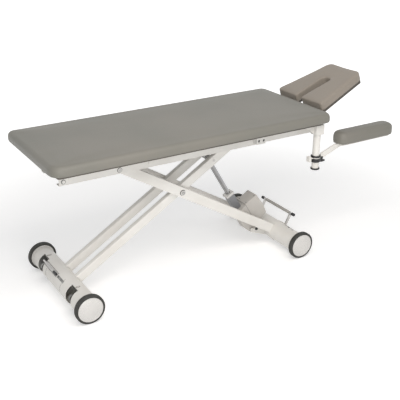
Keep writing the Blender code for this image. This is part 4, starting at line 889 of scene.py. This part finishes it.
GRIP_AXIS = (0.4631, 0.182)
GRIP_HALF = 0.1200
RIB_RADIUS, CORE_RADIUS = 0.0095, 0.0082
RIBS = 20
RIB_SHARE = 0.55
pitch = 2 * GRIP_HALF / RIBS
grip_start = bpy.data.meshes.new("grip_start")
grip_start.from_pydata([(GRIP_AXIS[0], -GRIP_HALF + pitch / 2, GRIP_AXIS[1])], [], [])
sizes = {"Ribs": RIBS, "Pitch": pitch, "Rib Radius": RIB_RADIUS, "Rib Length": pitch * RIB_SHARE}
ribs = grown("pedal_grip_ribs", grip_start, grip_tree(), sizes, housing_plastic)
fit(ribs, "pedal", "housing_plastic", "pedal_grip")
core_profile = [(-GRIP_HALF, 0.0), (-GRIP_HALF, CORE_RADIUS), (GRIP_HALF, CORE_RADIUS),
                (GRIP_HALF, 0.0)]
core = turned("pedal_grip_core", (GRIP_AXIS[0], 0.0, GRIP_AXIS[1]), (0, 1, 0), core_profile,
              grey_zinc, 32)
fit(core, "pedal", "grey_metal")

# %% [markdown]
# ## Screws and bolts, by Geometry Nodes
#
# Small heads show all over the frame: at the rail ends, on the motor and on the cylinders.
# Each is an instance of one head, placed on a point that carries the direction it faces.
# The head is a disc with a chamfered rim and a sunk socket, made by extruding its top.

# %% Screw tree
def screw_tree(material):
    tree, enter, leave = new_tree("screw_heads", {"Radius": 0.004, "Height": 0.003})
    body = add(tree, "GeometryNodeMeshCylinder", Vertices=24)
    wire(tree, enter, "Radius", body, "Radius")
    wire(tree, enter, "Height", body, "Depth")
    last, chosen = body.outputs["Mesh"], body.outputs["Top"]
    # The top rises into the chamfer, shrinks to the socket's mouth, and sinks into the socket.
    for rise, size in ((0.12, 0.86), (0.0, 0.55), (-0.6, 1.0)):
        push = tree.nodes.new("GeometryNodeExtrudeMesh")
        height = tree.nodes.new("ShaderNodeMath")
        height.operation = "MULTIPLY"
        height.inputs[1].default_value = rise
        shrink = add(tree, "GeometryNodeScaleElements", Scale=size)
        wire(tree, enter, "Height", height, 0)
        wire(tree, height, 0, push, "Offset Scale")
        tree.links.new(last, push.inputs["Mesh"])
        tree.links.new(chosen, push.inputs["Selection"])
        wire(tree, push, "Mesh", shrink, "Geometry")
        wire(tree, push, "Top", shrink, "Selection")
        last, chosen = shrink.outputs["Geometry"], push.outputs["Top"]
    facing = add(tree, "GeometryNodeInputNamedAttribute", Name="facing")
    facing.data_type = "FLOAT_VECTOR"
    aim = tree.nodes.new("FunctionNodeAlignRotationToVector")
    spread = tree.nodes.new("GeometryNodeInstanceOnPoints")
    wire(tree, facing, "Attribute", aim, "Vector")
    wire(tree, aim, "Rotation", spread, "Rotation")
    wire(tree, enter, "Geometry", spread, "Points")
    tree.links.new(last, spread.inputs["Instance"])
    end_tree(tree, spread.outputs["Instances"], leave, material)
    return tree


def screws(name, spots, radius, height, material, body, slot):
    """spots are (point, facing) pairs; each head's middle lies on its point."""
    mesh = bpy.data.meshes.new(name)
    mesh.from_pydata([point for point, way in spots], [], [])
    ways = mesh.attributes.new("facing", "FLOAT_VECTOR", "POINT")
    ways.data.foreach_set("vector", [part for point, way in spots for part in way])
    piece = grown(name, mesh, screw_tree(material), {"Radius": radius, "Height": height}, material)
    return fit(piece, body, slot)


# %% Screw places
def on_tube(axis, radius, y, angle):
    """A point on a tube at this angle from +X towards +Z, and the way it faces."""
    turn = math.radians(angle)
    way = (math.cos(turn), 0.0, math.sin(turn))
    return (axis[0] + radius * way[0], y, axis[1] + radius * way[2]), way


def washer(name, point, way, inner, outer, thick, material, body, slot):
    """A flat ring on a face: point is its middle on that face, and way is where the face looks."""
    profile = [(-0.0002, inner), (-0.0002, outer), (thick * 0.6, outer), (thick, outer - 0.0006),
               (thick, inner)]
    ring = turned(name, point, way, profile, material, 48, True)
    return fit(ring, body, slot)


RAIL_END, UPPER_PIVOT, CENTRE_PIVOT = (-0.942, 0.683), (-0.6420, 0.6825), (-0.2760, 0.4757)
RAIL_FACE, ARM_FACE = 0.1205, 0.1150


def both_sides(place, y):
    """The same spot at minus and plus y, each with the way that it faces."""
    return [((place[0], way * y, place[1]), (0, way, 0)) for side, way in SIDES]


# The dark rings round the upper and centre pivots are painted shadow; the ring at the rail end is a
# zinc washer.
for number, (side, way) in enumerate(SIDES):
    for name, place, y, sizes, material, body, slot in (
        ("rail_end_washer_", RAIL_END, RAIL_FACE, (0.004, 0.0125, 0.0010), grey_zinc,
         "deck", "grey_metal"),
        ("upper_pivot_shadow_", UPPER_PIVOT, RAIL_FACE, (0.0105, 0.0136, 0.0007), seam_dark,
         "deck", "dark_rubber"),
        ("centre_pivot_shadow_", CENTRE_PIVOT, ARM_FACE, (0.0130, 0.0166, 0.0007), seam_dark,
         "outer_arms", "dark_rubber"),
    ):
        washer(name + side, *both_sides(place, y)[number], *sizes, material, body, slot)
for name, place, y, radius, height, material, body, slot in (
    ("upper_pivot_sockets", UPPER_PIVOT, 0.1236, 0.0062, 0.0012, grey_zinc, "deck", "grey_metal"),
    ("centre_pivot_sockets", CENTRE_PIVOT, 0.1212, 0.0080, 0.0012, grey_zinc, "outer_arms",
     "grey_metal"),
    ("rail_end_bolts", RAIL_END, 0.1207, 0.0065, 0.004, bright_steel, "deck", "bright_steel"),
):
    screws(name, both_sides(place, y), radius, height, material, body, slot)
board_screws = [((x, y, 0.7380), (0, 0, -1))
                for x in (-0.904, -0.469, -0.034, 0.196) for y in (-0.06, 0.06)]
screws("board_screws", board_screws, 0.005, 0.003, bright_steel, "deck", "bright_steel")
head_screws = [on_tube(HEAD_AXIS, HEAD_TUBE, y, 79.0) for y in (-0.200, 0.200)]
screws("head_tube_screws", head_screws, 0.0045, 0.002, black_plastic, "head_base", "black_plastic")

# %% [markdown]
# ## Plates and lines on the cylinders
#
# Dark frames run round the windows. The foot cylinder also has a pale bed under the lever rod in a
# dark strip of painted shade for its groove, a grey plate that the lever's tip rests over, thin
# joints, and a black spot of painted shade for a small hole.
# Each is a strip of the cylinder's own curve, so the rolled sheet serves again, a hair proud.

# %% Window frames and joints
def patch(name, axis, radius, low_y, high_y, low_turn, high_turn, thick, material, holes=()):
    """A curved plate on a cylinder, half of its thickness outside radius."""
    ys = ticks(low_y, high_y, SHEET_STEP, sorted({y for hole in holes for y in hole[:2]}))
    turns = ticks(low_turn, high_turn, SHEET_TURN, sorted({a for hole in holes for a in hole[2:]}))
    piece = rolled(name, axis, radius, ys, turns, holes, material)
    thickened(piece, thick, 0.0)
    return piece


FRAME, FRAME_TURN, FRAME_THICK = 0.0035, 3.5, 0.0012
LINE_THICK = 0.0005
for end, axis, radius, windows, body in (
    ("head", HEAD_AXIS, HEAD_TUBE, head_windows, "head_base"),
    ("foot", FOOT_AXIS, FOOT_TUBE, foot_windows, "inner_arms"),
):
    for (side, way), window in zip(SIDES, windows):
        bounds = (window[0] - FRAME, window[1] + FRAME,
                  window[2] - FRAME_TURN, window[3] + FRAME_TURN)
        rim = patch("%s_window_frame_%s" % (end, side), axis, radius, *bounds, FRAME_THICK,
                    tyre_rubber, [window])
        fit(rim, body, "dark_rubber")

lines = (
    # The groove strip is painted shade along the sides of the lever's bed.
    ("lever_groove", (-0.012, 0.158, 118.5, 141.5), seam_dark, "dark_rubber"),
    ("lever_bed", (-0.012, 0.158, 120.5, 139.5), pearl_plastic, "pearl_plastic"),
    ("tip_plate", (-0.095, -0.017, 125.0, 138.0), grey_zinc, "grey_metal"),
    ("cross_joint", (-0.0865, -0.0850, 114.0, 186.0), seam_dark, "dark_rubber"),
    ("side_joint", (0.1142, 0.1154, 146.0, 186.0), seam_dark, "dark_rubber"),
    # The small hole is a black spot of painted shade.
    ("small_hole", (0.0985, 0.1015, 117.6, 120.4), black_plastic, "black_plastic"),
)
for order, (name, bounds, material, slot) in enumerate(lines):
    # Neighbouring strips lie 0.1 mm apart in height, so that none lies in another's surface.
    strip = patch(name, FOOT_AXIS, FOOT_TUBE + 0.0001 * (order % 3), *bounds, LINE_THICK, material)
    fit(strip, "inner_arms", slot)


# %% [markdown]
# ## Oval plugs
#
# Two pale oval plugs sit in the top of each cylinder, near its ends.
# A plug is turned as a round button with a thin dark lip, then stretched to its oval.

# %% Oval plugs
LIP_RADIUS = 0.006


def oval_plug(name, axis, radius, y, angle, along, around, material, body, slot):
    """along is the oval's half width along the cylinder, around its half width round it."""
    spot, way = on_tube(axis, radius, y, angle)
    aim = Matrix.Translation(spot) @ Vector(way).to_track_quat("Z", "Y").to_matrix().to_4x4()
    lip = turned(name + "_lip", (0, 0, 0), (0, 0, 1),
                 [(-0.002, 0.0), (-0.002, LIP_RADIUS), (0.0003, LIP_RADIUS), (0.0005, 0.0056),
                  (0.0005, 0.0)], seam_dark, 48)
    plug = turned(name, (0, 0, 0), (0, 0, 1),
                  [(-0.0015, 0.0), (-0.0015, 0.0051), (0.0007, 0.0051), (0.0011, 0.0046),
                   (0.0011, 0.0)], material, 48)
    oval = Matrix.Diagonal((along / LIP_RADIUS, around / LIP_RADIUS, 1.0, 1.0))
    for piece in (lip, plug):
        piece.data.transform(aim @ oval)
        fit(piece, body, slot)


for side, foot_y, head_y in (("near", -0.198, -0.240), ("far", 0.200, 0.240)):
    oval_plug("foot_plug_" + side, FOOT_AXIS, FOOT_TUBE, foot_y, 93.0, 0.0075, 0.0120,
              housing_plastic, "inner_arms", "housing_plastic")
    oval_plug("head_plug_" + side, HEAD_AXIS, HEAD_TUBE, head_y, 78.0, 0.0060, 0.0100,
              pearl_plastic, "head_base", "pearl_plastic")

# %% [markdown]
# ## Actuator details
#
# The linear drive has a pale guide collar where the rod comes out, a moulded motor cover with a
# dark parting line, and a latch at the lower pivot. The blocks are made upright and then laid
# along the drive's slope, which is easier than working out slanted corners.

# %% Rounded block
BLOCK_CRISP = 50.0


def block(name, size, edge, place, material):
    """A box of this size with rounded edges; place is its matrix, its middle at the origin."""
    made = bmesh.new()
    bmesh.ops.create_cube(made, size=1.0)
    bmesh.ops.scale(made, vec=size, verts=made.verts)
    bmesh.ops.bevel(made, geom=made.edges[:], offset=edge, segments=3, profile=0.5, affect="EDGES")
    bmesh.ops.transform(made, matrix=place, verts=made.verts)
    return from_bmesh(name, made, material, BLOCK_CRISP)


TRUNNION = Vector((0.2401, 0.0, 0.0980))
drive_up = Vector((-0.5041, 0.0, 0.8636))
drive_out = Vector((0.8636, 0.0, 0.5041))
drive_frame = Matrix((drive_out, Vector((0, 1, 0)), drive_up)).transposed().to_4x4()


def on_drive(out, y, up):
    """The matrix of a spot on the drive: out from its rod, along Y, and up the rod."""
    spot = TRUNNION + drive_out * out + drive_up * up + Vector((0, y, 0))
    return Matrix.Translation(spot) @ drive_frame


# %% Collar, parting line and latch
COLLAR_UP = 0.2842
MOTOR_TOP = 0.177
JOINT_OUT = 0.0425
collar = block("rod_collar", (0.0570, 0.0530, 0.0170), 0.0055, on_drive(0.0, 0.0, COLLAR_UP),
               pearl_plastic)
fit(collar, "actuator_housing", "housing_plastic")
for name, size, y, up in (
    ("near", (0.0012, 0.0010, 0.118), -0.0451, MOTOR_TOP - 0.062),
    ("far", (0.0012, 0.0010, 0.118), 0.0451, MOTOR_TOP - 0.062),
    ("top", (0.0012, 0.0890, 0.0010), 0.0, MOTOR_TOP - 0.0002),
):
    line = block("motor_joint_" + name, size, 0.0002, on_drive(JOINT_OUT, y, up), seam_dark)
    fit(line, "actuator_housing", "housing_plastic")
latch_knob = turned("latch_pivot", tuple(TRUNNION + Vector((0.022, 0.0, 0.004))), (0, -1, 0),
                    [(0.0500, 0.0), (0.0500, 0.009), (0.0625, 0.009), (0.0640, 0.0075),
                     (0.0640, 0.0)], black_plastic, 40)
fit(latch_knob, "head_base", "black_plastic")
motor_screws = [(tuple(on_drive(out, y, MOTOR_TOP).translation), tuple(drive_up))
                for out in (0.055, 0.120) for y in (-0.034, 0.034)]
screws("motor_screws", motor_screws, 0.0035, 0.0016, grey_zinc, "actuator_housing", "grey_metal")

# %% [markdown]
# ## Pedal uprights and keyholes
#
# The photograph shows the pedal's two uprights as flat bars, so a rounded block covers each one.
# The socket box below the pad has two keyholes, each with a black disc sunk in it as painted shade
# for the dark inside of the hole.

# %% Flat uprights of the pedal
UPRIGHT = (0.0150, 0.0110, 0.0740)
UPRIGHT_Y = 0.126
knee, top = Vector((0.4291, 0.0, 0.116)), Vector((GRIP_AXIS[0], 0.0, GRIP_AXIS[1]))
rise = (top - knee).normalized()
lean = Matrix((Vector((rise.z, 0, -rise.x)), Vector((0, 1, 0)), rise)).transposed().to_4x4()
for side, way in SIDES:
    middle = Matrix.Translation((knee + top) / 2 + Vector((0, way * UPRIGHT_Y, 0))) @ lean
    upright = block("pedal_upright_" + side, UPRIGHT, 0.0015, middle, bright_steel)
    fit(upright, "pedal", "bright_steel")

# %% Keyholes
KEYHOLE_Z = 0.7169
keyhole_shade_profile = [(0.2040, 0.0), (0.2040, 0.0068), (0.2054, 0.0068), (0.2054, 0.0)]
for side, way in SIDES:
    for number, x in enumerate((0.152, 0.184), 1):
        # Each black disc sits just inside a keyhole as painted shade for the dark inside of the
        # hole.
        keyhole_shade = turned("keyhole_%s_%d" % (side, number), (x, 0.0, KEYHOLE_Z), (0, way, 0),
                        keyhole_shade_profile, black_plastic, 24)
        fit(keyhole_shade, "deck", "black_plastic")

# %% [markdown]
# ## Floor
#
# The photograph is a cut-out on white with a soft shadow. The floor takes the shadow, and glows
# where the camera or a reflection looks at it: less under the table, so that the shadow shows,
# and more further out, where the floor has to meet the white background.

# %% Floor
FLOOR_REACH = 30
FLOOR_GREY = 0.9
NEAR_LIFT, FAR_LIFT = 0.34, 0.75
LIFT_FROM, LIFT_TO = 1.3, 3.2


def looked_at(tree):
    """A node that gives 1 where the camera or a reflection looks, and 0 for every other ray."""
    path = tree.nodes.new("ShaderNodeLightPath")
    either = tree.nodes.new("ShaderNodeMath")
    either.operation = "MAXIMUM"
    wire(tree, path, "Is Camera Ray", either, 0)
    wire(tree, path, "Is Glossy Ray", either, 1)
    return either


corners = [(-FLOOR_REACH, -FLOOR_REACH, 0), (FLOOR_REACH, -FLOOR_REACH, 0),
           (FLOOR_REACH, FLOOR_REACH, 0), (-FLOOR_REACH, FLOOR_REACH, 0)]
floor_mesh = bpy.data.meshes.new("floor")
floor_mesh.from_pydata(corners, [], [(0, 1, 2, 3)])
floor = bpy.data.objects.new("floor", floor_mesh)
bpy.context.scene.collection.objects.link(floor)
floor_white = bpy.data.materials.new("floor_white")
floor_white.use_nodes = True
tree = floor_white.node_tree
shader = tree.nodes["Principled BSDF"]
shader.inputs["Base Color"].default_value = (FLOOR_GREY, FLOOR_GREY, FLOOR_GREY, 1.0)
shader.inputs["Roughness"].default_value = 0.9
shader.inputs["Emission Color"].default_value = (1.0, 1.0, 1.0, 1.0)
spot = tree.nodes.new("ShaderNodeTexCoord")
away = tree.nodes.new("ShaderNodeVectorMath")
away.operation = "LENGTH"
fade = add(tree, "ShaderNodeMapRange", From_Min=LIFT_FROM, From_Max=LIFT_TO, To_Min=NEAR_LIFT,
           To_Max=FAR_LIFT)
fade.interpolation_type = "SMOOTHSTEP"
lifted = tree.nodes.new("ShaderNodeMath")
lifted.operation = "MULTIPLY"
wire(tree, spot, "Object", away, "Vector")
wire(tree, away, "Value", fade, "Value")
wire(tree, looked_at(tree), 0, lifted, 0)
wire(tree, fade, "Result", lifted, 1)
wire(tree, lifted, 0, shader, "Emission Strength")
floor_mesh.materials.append(floor_white)

# %% [markdown]
# ## World and lamps
#
# The world is plain white where the camera or a reflection looks at it, and dimmer as a light.
# A wide lamp on the camera's side lights the near faces, and a second, a little warm, the tops.

# %% World and lamps
WORLD_LEVEL = 0.50
world = bpy.data.worlds.new("studio")
bpy.context.scene.world = world
world.use_nodes = True
tree = world.node_tree
sky = tree.nodes["Background"]
sky.inputs["Color"].default_value = (1.0, 1.0, 1.0, 1.0)
level = add(tree, "ShaderNodeMapRange", To_Min=WORLD_LEVEL, To_Max=1.0)
wire(tree, looked_at(tree), 0, level, "Value")
wire(tree, level, "Result", sky, "Strength")
bpy.context.scene.view_settings.view_transform = "Standard"


def soft_lamp(name, place, towards, watts, wide, high, colour):
    """A rectangular lamp that looks from its place towards a point."""
    lamp = bpy.data.lights.new(name, "AREA")
    lamp.energy = watts
    lamp.color = colour
    lamp.shape = "RECTANGLE"
    lamp.size = wide
    lamp.size_y = high
    stand = bpy.data.objects.new(name, lamp)
    bpy.context.scene.collection.objects.link(stand)
    stand.location = place
    aim = Vector(towards) - stand.location
    stand.rotation_euler = aim.to_track_quat("-Z", "Y").to_euler()
    print(name, watts, "W")


soft_lamp("front_panel", (-1.7, -3.2, 1.1), (-0.2, 0.0, 0.45), 36, 2.6, 1.4, (1.0, 1.0, 1.0))
soft_lamp("top_panel", (-0.5, -1.9, 2.9), (-0.2, 0.0, 0.4), 44, 2.4, 1.6, (1.0, 0.95, 0.91))
